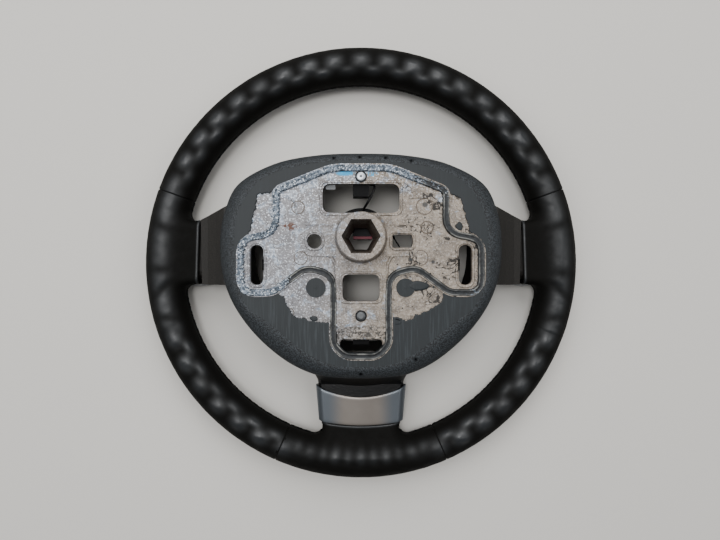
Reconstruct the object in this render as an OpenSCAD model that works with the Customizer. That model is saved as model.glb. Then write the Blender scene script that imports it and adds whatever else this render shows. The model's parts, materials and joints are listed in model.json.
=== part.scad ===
// Car steering wheel, seen from behind, lying on the front face of its rim with the airbag taken out.
// Origin: centre of the hub's rear face, at the mouth of the tapered hexagonal socket.
// +Z runs along the shaft axis toward the steering column, +Y to 12 o'clock, X to the right as seen
// from behind. Depths are measured down from the hub's rear face.

/* [Rim] */
// Outer diameter of the leather rim
rim_d = 375; // [366:1:384]
// Width of the grip in the plane of the rim
grip_w = 32; // [30:0.5:34]
// Thickness of the grip along the shaft axis
grip_h = 36; // [34:0.5:38]
// Depth of the rim's front face below the hub's rear face
rim_depth = 80; // [78:0.5:83]
// Distance of the rim's centre below the shaft axis, toward 6 o'clock
rim_drop = 19.4; // [17:0.1:22]
// Thickness of the leather
leather_t = 1.4; // [1:0.1:1.8]
// Room between the leather and the foam, for its glue
leather_fit = 0.9; // [0.7:0.05:1]
// Open width of a seam between two leather panels
seam_gap = 0.4; // [0.2:0.05:0.8]
// Number of finger scallops that a full turn would hold
scallops = 48; // [40:4:56]
// Depth of a finger scallop on the rear face of the grip
scallop_depth = 1.5; // [0.6:0.1:2]
// Width of the cast ring inside the rim
core_w = 12; // [10:0.5:14]
// Thickness of the cast ring inside the rim
core_h = 11; // [9:0.5:13]

/* [Hub] */
// Outer diameter of the hub boss at its mouth
boss_d = 38; // [36:0.5:40]
// Length of the hub boss from its rear face to its front face
boss_len = 43; // [41:0.5:46]
// Depth of the centre plate's rear face below the hub's rear face
plate_depth = 17; // [15:0.5:18]
// Radius of the fillet where the boss meets the plate
boss_fillet = 4; // [2:0.5:5]
// Width across the corners of the hexagonal socket at its mouth
hex_mouth = 30.3; // [28:0.1:31]
// Width across the corners of the hexagonal socket at its bottom
hex_end = 20.4; // [19:0.1:22]
// Diameter of the round bolt seat in the front of the hub
bolt_seat_d = 26; // [24:0.5:28]
// Depth of the round bolt seat
bolt_seat_depth = 3; // [2:0.5:4]

/* [Centre plate] */
// Thickness of the centre plate
plate_t = 5; // [4:0.25:6]
// Half width of the raised bead round the plate
bead_half_w = 97; // [95:0.5:98]
// Height of the raised bead's outline, from its top edge to the end of the tongue
bead_len = 152; // [149:0.5:154]
// Width of the raised bead
bead_w = 4; // [3:0.25:5]
// Height of the raised bead and arms above the plate
bead_h = 1.6; // [1:0.1:2]
// Half width of the raised cross arms from one end to the shaft axis
cross_arm_len = 46; // [44:0.5:48]
// Width of the raised cross arms
cross_arm_w = 24; // [22:0.5:26]
// Width of the raised column that runs down from the hub
column_w = 40; // [38:0.5:42]
// Depth of the ribs on the front of the plate
rib_depth = 10; // [8:0.5:12]
// Thickness of the ribs on the front of the plate
rib_t = 3; // [2.5:0.25:4]

/* [Plate openings] */
// Width of the slot above the hub
top_slot_w = 61.5; // [58:0.5:64]
// Height of the slot above the hub
top_slot_h = 23.3; // [22:0.1:24]
// Height of that slot's centre above the shaft axis
top_slot_y = 31.2; // [30.5:0.1:32]
// Width of the square hole below the hub
mid_slot_w = 29.7; // [28:0.1:31]
// Height of the square hole below the hub
mid_slot_h = 21.3; // [20:0.1:23]
// Distance of the square hole's centre below the shaft axis
mid_slot_y = 40; // [39:0.5:41]
// Width of the slot in the tongue
low_slot_w = 34; // [32:0.5:35]
// Height of the slot in the tongue
low_slot_h = 11.2; // [10:0.1:12]
// Distance of that slot's centre below the shaft axis
low_slot_y = 86.5; // [85:0.5:88]
// Width of each side slot
side_slot_w = 10.6; // [9:0.1:12]
// Length of each side slot
side_slot_h = 32; // [30:0.5:34]
// Distance of each side slot's centre from the shaft axis
side_slot_x = 83; // [82:0.5:84]
// Distance of each side slot's centre below the shaft axis
side_slot_y = 21.8; // [20:0.1:24]
// Diameter of the round hole beside the hub
round_hole_d = 11.8; // [10:0.1:13]
// Distance of the round hole from the shaft axis
round_hole_x = 37; // [35:0.5:38]
// Width of the D-shaped hole beside the hub
d_hole_w = 16.5; // [15:0.1:18]
// Height of the D-shaped hole
d_hole_h = 10.4; // [9:0.1:11.5]
// Distance of the D-shaped hole's centre from the shaft axis
d_hole_x = 33.1; // [32.5:0.1:34]
// Distance of both holes beside the hub below the shaft axis
hole_y = 3; // [2:0.5:4]

/* [Foam tub] */
// Width of the tub round the hub
cover_w = 229; // [225:1:232]
// Height of the tub above the shaft axis
cover_top = 68.7; // [67:0.1:71]
// Depth of the tub below the shaft axis
cover_low = 114.3; // [112:0.1:116]
// Thickness of the skin over the plate
skin_t = 1.2; // [0.8:0.1:1.5]
// Fall of the grained band from the smooth zone to the tub's edge
band_fall = 12.7; // [11:0.1:14]
// Thickness of the tub's wall
tub_wall = 4.5; // [3.5:0.25:6]
// Depth of the tub's front edge below the hub's rear face
tub_depth = 71; // [69:0.5:72]
// Diameter of a vent pip in the grained band
vent_d = 1.6; // [1:0.1:2.4]

/* [Spokes] */
// Width of the side spokes at the leather's edge
spoke_w = 55; // [53:0.5:57]
// Distance of the side spokes' lower edge below the shaft axis
spoke_low = 38.3; // [37:0.1:39]
// Reach of the leather from the grip's centre toward the hub
stub_reach = 33.5; // [32:0.5:35]
// How much further out the bottom stub's leather ends than the side stubs'
low_stub_shift = 3; // [2:0.5:4]
// Width of the groove between leather and spoke cover
groove_w = 1.6; // [1:0.1:2]
// Depth of a side spoke's rear face at the tub
spoke_rise_hub = 37.5; // [36:0.5:39]
// Depth of a side spoke's rear face at the leather's edge
spoke_rise_rim = 47; // [46:0.5:48]
// Depth of the spokes' front faces
spoke_front = 71; // [70:0.5:72]
// Width of the bottom spoke at the tub
low_spoke_w = 77; // [74:0.5:79]
// Width of the bottom spoke at the leather's edge
low_spoke_end_w = 69; // [66:0.5:71]
// Depth of the bottom spoke's rear face
low_spoke_rise = 56; // [54:0.5:57]
// Thickness of the cast arms
arm_t = 9; // [7:0.5:10]
// Width of the cast side arms at the rim
arm_w = 36; // [32:0.5:40]
// Width of the cast bottom arm
low_arm_w = 38; // [34:0.5:42]

/* [Trims] */
// Thickness of the silver trims
trim_t = 1.6; // [1.2:0.1:2]
// Room between a trim and the foam under it
trim_fit = 0.2; // [0.1:0.05:0.4]
// Length of the bottom saddle along the spoke
saddle_len = 24.4; // [22:0.1:26]
// Height of the bottom saddle's sides
saddle_side = 12; // [10:0.5:14]
// Length of a side trim along its spoke
side_trim_len = 30; // [26:0.5:32]
// Height of a side trim's skirt
side_trim_skirt = 9; // [7:0.5:11]

/* [Horn contacts] */
// Distance of the top rivet above the shaft axis
top_rivet_y = 48.4; // [48:0.1:49]
// Distance of the bottom rivet below the shaft axis
low_rivet_y = 62.4; // [61:0.1:64]
// Diameter of the rivets' heads
rivet_head_d = 7.4; // [6:0.1:8]
// Diameter of the rivets' shanks
rivet_d = 4.8; // [4:0.1:5.5]
// Height of the rivets' heads
rivet_head_h = 1.4; // [1:0.1:2]
// Width of a contact housing
housing_w = 13; // [12:0.5:14]
// Depth of a contact housing
housing_h = 14; // [12:0.5:16]
// Distance of a plunger's centre from its rivet
plunger_offset = 9.5; // [9:0.1:10.5]
// Diameter of a plunger
plunger_d = 6; // [5:0.1:6.6]
// Length of a plunger that stays out of its housing when it is pressed
plunger_stub = 1.5; // [1:0.1:2]
// Travel of a plunger
plunger_travel = 2.5; // [1.5:0.1:3]
// Running clearance round a plunger
plunger_fit = 0.3; // [0.2:0.05:0.4]

/* [Airbag catches] */
// Width of a catch along the slot
catch_w = 9; // [8:0.5:10]
// Thickness of a catch
catch_t = 6; // [5:0.5:7]
// Length of a catch
catch_len = 16; // [14:0.5:17]
// Wall of a catch's guide
guide_wall = 2.4; // [2:0.1:3]
// Reach of the catch beyond the side slot's inner edge
catch_nose = 2.2; // [1.5:0.1:3]
// Travel of a catch toward the hub
catch_travel = 4; // [3:0.1:5]
// Running clearance round a catch
catch_fit = 0.35; // [0.3:0.05:0.5]

/* [Harness] */
// Outer diameter of the harness ring
harness_d = 52; // [50:0.5:54]
// Thickness of the harness ring
harness_t = 6; // [5:0.5:7]
// Width of the connector
plug_w = 17; // [15:0.5:18]
// Height of the connector across the hub
plug_h = 15.2; // [14:0.1:16]
// Depth of the connector along the shaft axis
plug_t = 10; // [9:0.5:12]
// Diameter of the horn lead
horn_lead_d = 2; // [1.5:0.1:2.4]
// Diameter of the thin link lead
link_lead_d = 1.2; // [1:0.1:1.5]

/* [Hidden] */

$fn = 48;
overrun = 1;

// Places that follow from the sizes above
rim_r = (rim_d - grip_w) / 2;
rim_z = -rim_depth + grip_h / 2;
plate_z = -plate_depth;
plate_front = plate_z - plate_t;
skin_z = plate_z + skin_t;
cover_x = cover_w / 2;
groove_x = rim_r - stub_reach;
spoke_top = spoke_w - spoke_low;
spoke_mid = (spoke_top - spoke_low) / 2;
low_groove_y = -rim_drop - rim_r + stub_reach - low_stub_shift;

// Angles of the four leather seams, and where the scallops fade, as shares of their depth
seam_top_right = 20;
seam_top_left = 160;
seam_low_left = 246.4;
seam_low_right = 293.6;
fade_shares = [
    [-20, 0], [18, 0], [27, 1], [153, 1], [162, 0], [197, 0], [205, 1], [240, 1], [250, 0.5],
    [290, 0.5], [300, 1], [335, 1], [343, 0], [380, 0]
];
grip_sides = 12;
stations_per_scallop = 4;
foam_sides = 24;

// Outline helpers. A corner is [x, y, radius].
function unit(v) = v / norm(v);
function flat(v) = [v.x, v.y];
function swing(a) = a > 180 ? a - 360 : a < -180 ? a + 360 : a;

// The arc that rounds corner b between its neighbours a and c
function corner_arc(a, b, c, r, n) =
    let(
        u = unit(a - b), v = unit(c - b), half = acos(u * v) / 2,
        reach = min(r / tan(half), norm(a - b) * 0.48, norm(c - b) * 0.48),
        radius = reach * tan(half),
        centre = b + unit(u + v) * radius / sin(half),
        from = b + u * reach - centre, to = b + v * reach - centre,
        start = atan2(from.y, from.x), sweep = swing(atan2(to.y, to.x) - start)
    )
    [for (i = [0:n]) centre + radius * [cos(start + sweep * i / n), sin(start + sweep * i / n)]];

// A closed outline with each corner rounded by its own radius
function rounded(corners, n = 4) = [
    for (i = [0:len(corners) - 1])
        let(
            m = len(corners),
            a = flat(corners[(i + m - 1) % m]), b = flat(corners[i]), c = flat(corners[(i + 1) % m]),
            r = corners[i].z
        )
        each (r > 0 ? corner_arc(a, b, c, r, n) : [b])
];

// The same outline moved outward by d, for one that runs clockwise or counter-clockwise alike
function outline_turn(p) = sum([for (i = [0:len(p) - 1])
    let(a = p[i], b = p[(i + 1) % len(p)]) a.x * b.y - b.x * a.y]) > 0 ? 1 : -1;
function sum(v, i = 0, total = 0) = i == len(v) ? total : sum(v, i + 1, total + v[i]);
function grown(p, d) =
    let(m = len(p), way = outline_turn(p))
    [for (i = [0:m - 1])
        let(
            a = unit(p[i] - p[(i + m - 1) % m]), b = unit(p[(i + 1) % m] - p[i]),
            na = way * [a.y, -a.x], nb = way * [b.y, -b.x]
        )
        p[i] + (na + nb) * d / (1 + na * nb)];

// Both halves of an outline whose right half runs from 12 o'clock down to 6 o'clock
function mirrored(half) = concat(half, [
    for (i = [len(half) - 1:-1:0]) if (half[i].x > 0) [-half[i].x, for (k = [1:len(half[i]) - 1]) half[i][k]]
]);
function box_corners(x0, x1, y0, y1, r) = [[x0, y0, r], [x1, y0, r], [x1, y1, r], [x0, y1, r]];

// A smooth closed curve through control points, m steps between each pair
function spline_point(p, i, t) =
    let(m = len(p), a = p[(i + m - 1) % m], b = p[i], c = p[(i + 1) % m], d = p[(i + 2) % m])
    (2 * b + (c - a) * t + (2 * a - 5 * b + 4 * c - d) * t * t + (3 * b - a - 3 * c + d) * t * t * t) / 2;
function spline(p, m) = [for (i = [0:len(p) - 1], k = [0:m - 1]) spline_point(p, i, k / m)];

// Faces of a tube of n rings with k points each: open along its length, closed at both ends
function side_faces(n, k, first = 0) = [
    for (i = [0:n - 2], j = [0:k - 1])
        each let(a = first + i * k + j, b = first + i * k + (j + 1) % k)
            [[a, b, b + k], [a, b + k, a + k]]
];
function loop_faces(n, k) = [
    for (i = [0:n - 1], j = [0:k - 1])
        each let(
            a = i * k + j, b = i * k + (j + 1) % k,
            c = ((i + 1) % n) * k + (j + 1) % k, d = ((i + 1) % n) * k + j
        )
            [[a, b, c], [a, c, d]]
];
function flipped(faces) = [for (f = faces) [f[2], f[1], f[0]]];

module tube(rings) {
    n = len(rings);
    k = len(rings[0]);
    polyhedron(
        points = [for (ring = rings) each ring],
        faces = concat(
            side_faces(n, k),
            [for (j = [1:k - 2]) [0, j + 1, j]],
            [for (j = [1:k - 2]) [(n - 1) * k, (n - 1) * k + j, (n - 1) * k + j + 1]]
        )
    );
}

// A cord's rings: round, square to the route at each of its points
function route_rings(route, d, sides) = [
    for (i = [0:len(route) - 1])
        let(
            t = unit(route[min(i + 1, len(route) - 1)] - route[max(i - 1, 0)]),
            u = unit(cross(t, abs(t.z) > 0.9 ? [1, 0, 0] : [0, 0, 1])), v = cross(u, t)
        )
        [for (j = [0:sides - 1]) route[i] + (u * cos(360 * j / sides) + v * sin(360 * j / sides)) * d / 2]
];
// An open smooth route through chosen points
function route_points(p, m) = [
    for (i = [0:len(p) - 2], k = [0:m - 1])
        let(
            t = k / m, a = p[max(i - 1, 0)], b = p[i], c = p[i + 1], d = p[min(i + 2, len(p) - 1)]
        )
        (2 * b + (c - a) * t + (2 * a - 5 * b + 4 * c - d) * t * t + (3 * b - a - 3 * c + d) * t * t * t) / 2,
    p[len(p) - 1]
];

// Outlines of the casting, right half from the top, as shares of the bead's half width, its length
// and the largest corner radius
bead_corner_r = 14;
bead_shares = [
    [0.24, 0.372, 3], [0.71, 0.252, 0.6], [0.71, 0.03, 1], [1, -0.002, 1], [1, -0.3, 1],
    [0.72, -0.296, 1.2], [0.45, -0.168, 1], [0.245, -0.2, 0.9], [0.237, -0.34, 1.5], [0.242, -0.56, 1],
    [0.14, -0.63, 1]
];
function bead_place(s) = [s.x * bead_half_w, s.y * bead_len, s.z * bead_corner_r];
bead_line = rounded(mirrored([for (s = bead_shares) bead_place(s)]));
plate_shares = [
    [0.45, 0.372, 2], [0.84, 0.27, 1], [0.94, 0.06, 1], [1.03, -0.03, 1], [1.02, -0.31, 1],
    [0.72, -0.37, 1], [0.6, -0.42, 1], [0.34, -0.49, 1], [0.29, -0.64, 1], [0.18, -0.665, 1]
];
plate_line = rounded(mirrored([for (s = plate_shares) bead_place(s)]));

// Bare metal outside the bead, where the foam has flashed away unevenly, in the same shares
pad_upper_left_shares = [
    [-0.66, 0.25, 0.2], [-0.75, 0.238, 0.2], [-0.855, 0.23, 0.3], [-0.88, 0.138, 0.4],
    [-0.905, 0.06, 0.3], [-0.93, 0.0, 0.2], [-0.66, 0.0, 0.2]
];
pad_upper_right_shares = [
    [0.66, 0.25, 0.2], [0.725, 0.23, 0.2], [0.824, 0.216, 0.3], [0.86, 0.12, 0.4],
    [0.892, 0.041, 0.3], [0.97, -0.01, 0.2], [0.66, 0.0, 0.2]
];
pad_lower_left_shares = [
    [-0.22, -0.2, 0.1], [-0.44, -0.17, 0.2], [-0.7, -0.285, 0.2], [-0.645, -0.31, 0.3],
    [-0.6, -0.37, 0.3], [-0.58, -0.4, 0.2], [-0.54, -0.415, 0.2], [-0.43, -0.437, 0.3],
    [-0.27, -0.452, 0.1], [-0.22, -0.45, 0.1]
];
pad_lower_right_shares = [
    [0.22, -0.2, 0.1], [0.44, -0.17, 0.2], [0.6, -0.255, 0.2], [0.68, -0.288, 0.3],
    [0.687, -0.326, 0.3], [0.633, -0.356, 0.3], [0.375, -0.443, 0.3], [0.27, -0.418, 0.1],
    [0.22, -0.41, 0.1]
];
pads = [for (t = [pad_upper_left_shares, pad_upper_right_shares, pad_lower_left_shares,
    pad_lower_right_shares]) rounded([for (s = t) bead_place(s)], 2)];

// Outlines of the tub as shares of its half width and its height above or below the shaft axis:
// the edge of the smooth zone, and the outer edge of the grained band
smooth_shares = [
    [0, 0.9], [0.3, 0.87], [0.55, 0.79], [0.74, 0.62], [0.86, 0.3], [0.89, -0.04], [0.87, -0.3],
    [0.79, -0.49], [0.64, -0.61], [0.46, -0.76], [0.28, -0.87], [0.13, -0.905], [0, -0.91]
];
edge_shares = [
    [0, 1], [0.31, 0.98], [0.61, 0.88], [0.87, 0.64], [0.97, 0.3], [1, -0.05], [0.975, -0.29],
    [0.89, -0.5], [0.74, -0.7], [0.54, -0.87], [0.34, -0.967], [0.16, -0.995], [0, -1]
];
function tub_place(s) = [s.x * cover_x, s.y * (s.y > 0 ? cover_top : cover_low)];
curve_steps = 3;
smooth_line = spline(mirrored([for (s = smooth_shares) tub_place(s)]), curve_steps);
edge_line = spline(mirrored([for (s = edge_shares) tub_place(s)]), curve_steps);

// Grip section: rings round the rim. The scallops sink only the rear face.
function scallop(a) = (1 - cos(scallops * (a - 90))) / 2 * lookup(a, fade_shares);
function rear_sink(f) = scallop_depth * max(0, sin(f)) ^ 0.5;
function grip_ring(a, inset, dip) = [
    for (k = [0:grip_sides - 1])
        let(
            f = 360 * k / grip_sides,
            sink = inset + dip * rear_sink(f),
            r = rim_r + (grip_w / 2 - sink) * cos(f)
        )
        [r * cos(a), r * sin(a) - rim_drop, rim_z + (grip_h / 2 - sink) * sin(f)]
];
function stations(a0, a1, step) = concat(
    [a0], [for (i = [ceil(a0 / step + 0.25):floor(a1 / step - 0.25)]) i * step], [a1]
);
fine_step = 360 / scallops / stations_per_scallop;
coarse_step = 360 / scallops;
seam_angle = seam_gap / 2 / rim_r * 180 / PI;

// The scalloped outside of the grip, and the plain hollow under its leather
module grip_outside(a0, a1) {
    tube([for (a = stations(a0 + seam_angle, a1 - seam_angle, fine_step)) grip_ring(a, 0, scallop(a))]);
}
module grip_hollow(a0, a1) {
    tube([for (a = stations(a0, a1, coarse_step)) grip_ring(a, leather_t, 1)]);
}

module grip_panel(a0, a1) {
    outer = [for (a = stations(a0 + seam_angle, a1 - seam_angle, fine_step)) grip_ring(a, 0, scallop(a))];
    inner = [for (a = stations(a0 + seam_angle, a1 - seam_angle, coarse_step)) grip_ring(a, leather_t, 1)];
    n = len(outer);
    m = len(inner);
    k = grip_sides;
    last = (n - 1) * k;
    inner_first = n * k;
    inner_last = inner_first + (m - 1) * k;
    polyhedron(
        points = concat([for (r = outer) each r], [for (r = inner) each r]),
        faces = concat(
            side_faces(n, k),
            flipped(side_faces(m, k, inner_first)),
            flipped([for (j = [0:k - 1]) each let(a = j, b = (j + 1) % k)
                [[a, b, inner_first + b], [a, inner_first + b, inner_first + a]]]),
            [for (j = [0:k - 1]) each let(a = last + j, b = last + (j + 1) % k,
                c = inner_last + (j + 1) % k, d = inner_last + j) [[a, b, c], [a, c, d]]]
        )
    );
}

// A side stub of leather: slices from the grip to the groove, as shares of the stub's reach, with
// their spread, as shares of its fillet
stub_fillet = 7;
stub_corner = 9;
stub_slant = 4;
stub_slice_shares = [[0.1, 1], [0.45, 0.6], [0.57, 0.2], [0.68, 0], [1, 0]];
function stub_ring(s, inset) =
    let(
        x = rim_r - s[0] * stub_reach, spread = s[1] * stub_fillet - inset, turn = -stub_slant * s[0],
        outline = rounded(box_corners(
            -spoke_w / 2 - spread, spoke_w / 2 + spread, -spoke_front + inset, -spoke_rise_rim - inset,
            stub_corner - inset
        ), 3)
    )
    [for (p = outline) [x - p.x * sin(turn), spoke_mid + p.x * cos(turn), p.y]];
module side_stub(inset, reach) {
    tube(concat(
        [for (i = [0:len(stub_slice_shares) - 2]) stub_ring(stub_slice_shares[i], inset)],
        [stub_ring([reach, 0], inset)]
    ));
}

// The bottom stub of leather, made the same way
low_stub_fillet = 9;
low_stub_slice_shares = [[0.05, 1.2], [0.5, 0.75], [0.62, 0.3], [0.75, 0.04], [1, 0]];
low_stub_reach = stub_reach - low_stub_shift;
function low_stub_ring(s, inset) =
    let(
        y = -rim_drop - rim_r + s[0] * low_stub_reach, spread = s[1] * low_stub_fillet - inset,
        rear = -spoke_rise_rim - (low_spoke_rise - trim_fit - trim_t - spoke_rise_rim) * s[0] - inset,
        outline = rounded(box_corners(
            -low_spoke_end_w / 2 - spread, low_spoke_end_w / 2 + spread, -spoke_front + inset, rear,
            stub_corner - inset
        ), 3)
    )
    [for (p = outline) [p.x, y, p.y]];
module low_stub(inset, reach) {
    tube(concat(
        [for (i = [0:len(low_stub_slice_shares) - 2]) low_stub_ring(low_stub_slice_shares[i], inset)],
        [low_stub_ring([reach, 0], inset)]
    ));
}

leather_color = "#1b1c1e";
module leather_top() {
    color(leather_color) grip_panel(seam_top_right, seam_top_left);
}

// A side panel, drawn on the left: its grip, its stub, and the hollow that the foam fills
module leather_side() {
    difference() {
        union() {
            grip_outside(seam_top_left, seam_low_left);
            mirror([1, 0, 0]) side_stub(0, 1);
        }
        grip_hollow(seam_top_left, seam_low_left);
        mirror([1, 0, 0]) side_stub(leather_t, 1 + overrun / stub_reach);
    }
}
module leather_left() {
    color(leather_color) leather_side();
}
module leather_right() {
    color(leather_color) mirror([1, 0, 0]) leather_side();
}
module leather_bottom() {
    color(leather_color) difference() {
        union() {
            grip_outside(seam_low_left, seam_low_right);
            low_stub(0, 1);
        }
        grip_hollow(seam_low_left, seam_low_right);
        low_stub(leather_t, 1 + overrun / stub_reach);
    }
}

// The casting's ring and arms. An arm is its plan cut out of its cranked side profile.
module core_profile(grow) {
    polygon(rounded(box_corners(
        rim_r - core_w / 2 - grow, rim_r + core_w / 2 + grow,
        rim_z - core_h / 2 - grow, rim_z + core_h / 2 + grow, core_w / 5
    ), 3));
}
module core_ring() {
    translate([0, -rim_drop, 0]) rotate_extrude() core_profile(0);
}

// Side profiles of the arms, which drop from the plate's edge and run out to the ring: [share of the way
// from the arm's root to the ring's centre, depth as a share of the way from the plate's front to it]
side_arm_root = 90;
low_arm_root = 94.5;
side_arm_shares = [
    [0, -0.06], [0.09, 0.01], [0.17, 0.45], [0.38, 0.64], [0.6, 0.8], [0.8, 0.88], [1, 0.88]
];
low_arm_shares = [
    [0, -0.06], [0.045, 0.01], [0.095, 0.66], [0.21, 0.83], [0.3, 0.89], [0.42, 0.93], [1, 0.88]
];
module arm_profile(shares, root, reach) {
    rear = [for (s = shares)
        [root + s[0] * (reach - root), plate_front + s[1] * (rim_z - plate_front)]];
    polygon(concat(rear, [for (i = [len(rear) - 1:-1:0]) rear[i] - [arm_t / 3, arm_t]]));
}
module side_arm() {
    intersection() {
        translate([0, spoke_mid + spoke_w, 0])
            rotate([90, 0, 0])
                linear_extrude(2 * spoke_w) arm_profile(side_arm_shares, side_arm_root, rim_r);
        translate([0, 0, -rim_depth])
            linear_extrude(rim_depth)
                polygon([
                    [side_arm_root, spoke_mid - arm_w * 0.6], [cover_x, spoke_mid - arm_w * 0.55],
                    [groove_x, spoke_mid - arm_w / 2], [rim_r, spoke_mid - arm_w / 2],
                    [rim_r, spoke_mid + arm_w / 2], [groove_x, spoke_mid + arm_w / 2],
                    [cover_x, spoke_mid + arm_w * 0.6], [side_arm_root, spoke_mid + arm_w * 0.7]
                ]);
    }
}
module low_arm() {
    reach = rim_r + rim_drop;
    intersection() {
        translate([-low_arm_w, 0, 0])
            rotate([90, 0, 90])
                linear_extrude(2 * low_arm_w)
                    mirror([1, 0]) arm_profile(low_arm_shares, low_arm_root, reach);
        translate([0, 0, -rim_depth])
            linear_extrude(rim_depth)
                polygon([
                    [-low_arm_w * 0.4, -low_arm_root], [-low_arm_w * 0.45, -cover_low],
                    [-low_arm_w / 2, -reach], [low_arm_w / 2, -reach],
                    [low_arm_w * 0.45, -cover_low], [low_arm_w * 0.4, -low_arm_root]
                ]);
    }
}

module boss() {
    r = boss_d / 2;
    foot = r + bead_h / 2 + boss_fillet;
    rotate_extrude()
        polygon(concat(
            [[0, 0], [r - bead_h / 2, 0], [r, -bead_h / 2]],
            [for (i = [0:4]) let(a = 90 * i / 4)
                [foot - boss_fillet * cos(a), plate_z + boss_fillet * (1 - sin(a))]],
            [[foot, plate_front], [r + bead_h, plate_front - boss_fillet], [r, -boss_len], [0, -boss_len]]
        ));
}
module hex_socket() {
    socket_len = boss_len - bolt_seat_depth;
    translate([0, 0, -socket_len - overrun / 100])
        linear_extrude(socket_len + overrun / 50, scale = hex_mouth / hex_end)
            circle(d = hex_end, $fn = 6);
    translate([0, 0, -boss_len - overrun])
        cylinder(d = bolt_seat_d, h = bolt_seat_depth + overrun);
}

module slot(w, h, x, y, r) {
    translate([x, y, plate_front - rib_depth - overrun])
        linear_extrude(plate_t + rib_depth + bead_h + 2 * overrun)
            polygon(rounded(box_corners(-w / 2, w / 2, -h / 2, h / 2, r)));
}
notch_h = 11.6;
module side_slot(way) {
    mirror([way < 0 ? 1 : 0, 0, 0]) {
        slot(side_slot_w, side_slot_h, side_slot_x, -side_slot_y, side_slot_w * 0.45);
        slot(side_slot_w / 2, notch_h, side_slot_x - side_slot_w / 2 + catch_nose / 6, -side_slot_y,
            side_slot_w / 10);
    }
}
module plate_openings() {
    slot(top_slot_w, top_slot_h, 0, top_slot_y, top_slot_h / 4);
    slot(mid_slot_w, mid_slot_h, 0, -mid_slot_y, mid_slot_h / 4.5);
    slot(low_slot_w, low_slot_h, 0, -low_slot_y, low_slot_h / 3);
    side_slot(1);
    side_slot(-1);
    translate([-round_hole_x, -hole_y, plate_front - overrun])
        cylinder(d = round_hole_d, h = plate_t + bead_h + 2 * overrun);
    translate([d_hole_x, -hole_y, plate_front - overrun])
        linear_extrude(plate_t + bead_h + 2 * overrun)
            intersection() {
                square([d_hole_w, d_hole_h], center = true);
                translate([-d_hole_w * 0.1, 0]) circle(d = d_hole_w * 1.2);
            }
    for (y = [top_rivet_y, -low_rivet_y])
        translate([0, y, plate_front - overrun])
            cylinder(d = rivet_d, h = plate_t + bead_h + 2 * overrun);
    for (s = plug_shares)
        translate([s.x * bead_half_w, s.y * bead_len, plate_front - overrun])
            cylinder(d = foam_plug_d * s.z, h = plate_t + 2 * overrun);
}

// Ribs on the front of the plate, as shares of the bead's half width and length: [x0, y0, x1, y1]
plug_shares = [[-0.371, -0.263, 1], [0.365, -0.263, 0.95]];
rib_shares = [
    [0.22, -0.6, 0.22, 0.05], [0.22, -0.12, 0.56, -0.16], [0.56, -0.16, 0.56, 0.2],
    [0.2, 0.08, 0.56, 0.2], [0.1, 0.345, 0.45, 0.33], [0.45, 0.33, 0.56, 0.2], [0.09, -0.43, 0.22, -0.43]
];
module rib(s) {
    a = [s[0] * bead_half_w, s[1] * bead_len];
    b = [s[2] * bead_half_w, s[3] * bead_len];
    d = b - a;
    translate([a.x, a.y, plate_front - rib_depth])
        rotate([0, 0, atan2(d.y, d.x)])
            translate([0, -rib_t / 2, 0])
                cube([norm(d), rib_t, rib_depth + plate_t / 2]);
}

module armature() {
    color("#b7b2a6") difference() {
        union() {
            translate([0, 0, plate_front]) linear_extrude(plate_t) intersection() {
                polygon(plate_line);
                polygon(smooth_line);
            }
            translate([0, 0, plate_z - plate_t / 2])
                linear_extrude(plate_t / 2 + bead_h)
                    difference() {
                        polygon(grown(bead_line, bead_w / 2));
                        polygon(grown(bead_line, -bead_w / 2));
                    }
            translate([0, 0, plate_z - plate_t / 2])
                linear_extrude(plate_t / 2 + bead_h * 0.8)
                    union() {
                        polygon(rounded(box_corners(
                            -cross_arm_len, cross_arm_len,
                            -cross_arm_w / 2 - hole_y, cross_arm_w / 2 - hole_y, cross_arm_w / 3
                        )));
                        polygon(rounded(box_corners(
                            -column_w / 2, column_w / 2, -low_slot_y + low_slot_h, 0, column_w / 20
                        )));
                    }
            for (s = rib_shares, m = [0, 1]) mirror([m, 0, 0]) rib(s);
            boss();
            for (m = [0, 1]) mirror([m, 0, 0]) side_arm();
            low_arm();
            core_ring();
        }
        hex_socket();
        plate_openings();
    }
}

// The foam tub: skin over the plate, edge round the plate, and the band and wall as one swept section.
// A level is [share of the way from the smooth zone's edge to the tub's edge, depth share of the
// band's fall, inset share of the wall]; the last outer and first inner level lie at the front edge.
band_level_shares = [[0, 0, 0], [0.36, 0.09, 0], [0.68, 0.3, 0], [0.9, 0.6, 0], [1, 1, 0], [1, 1.45, 0]];
inner_level_shares = [[1, 1.5, 1], [1, 1.1, 1.1], [0.72, 0.53, 1.1], [0, 0.49, 0]];
tub_taper = 2;
well_shares = [0.93, 0.86];
function tub_level(s) =
    let(outer = grown(edge_line, -s[2] * tub_wall), z = skin_z - s[1] * band_fall)
    [for (i = [0:len(edge_line) - 1])
        let(p = smooth_line[i] * (1 - s[0]) + outer[i] * s[0]) [p.x, p.y, z]];
function tub_rim(inset) = [for (p = grown(edge_line, -inset)) [p.x, p.y, -tub_depth]];
module tub_wall_ring() {
    levels = concat(
        [for (s = band_level_shares) tub_level(s)], [tub_rim(tub_taper)],
        [[for (p = smooth_line) [p.x * well_shares.x, p.y * well_shares.y, -tub_depth]]],
        [for (s = inner_level_shares) tub_level(s)]
    );
    k = len(levels);
    n = len(edge_line);
    polyhedron(
        points = [for (i = [0:n - 1], j = [0:k - 1]) levels[j][i]],
        faces = loop_faces(n, k)
    );
}

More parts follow.
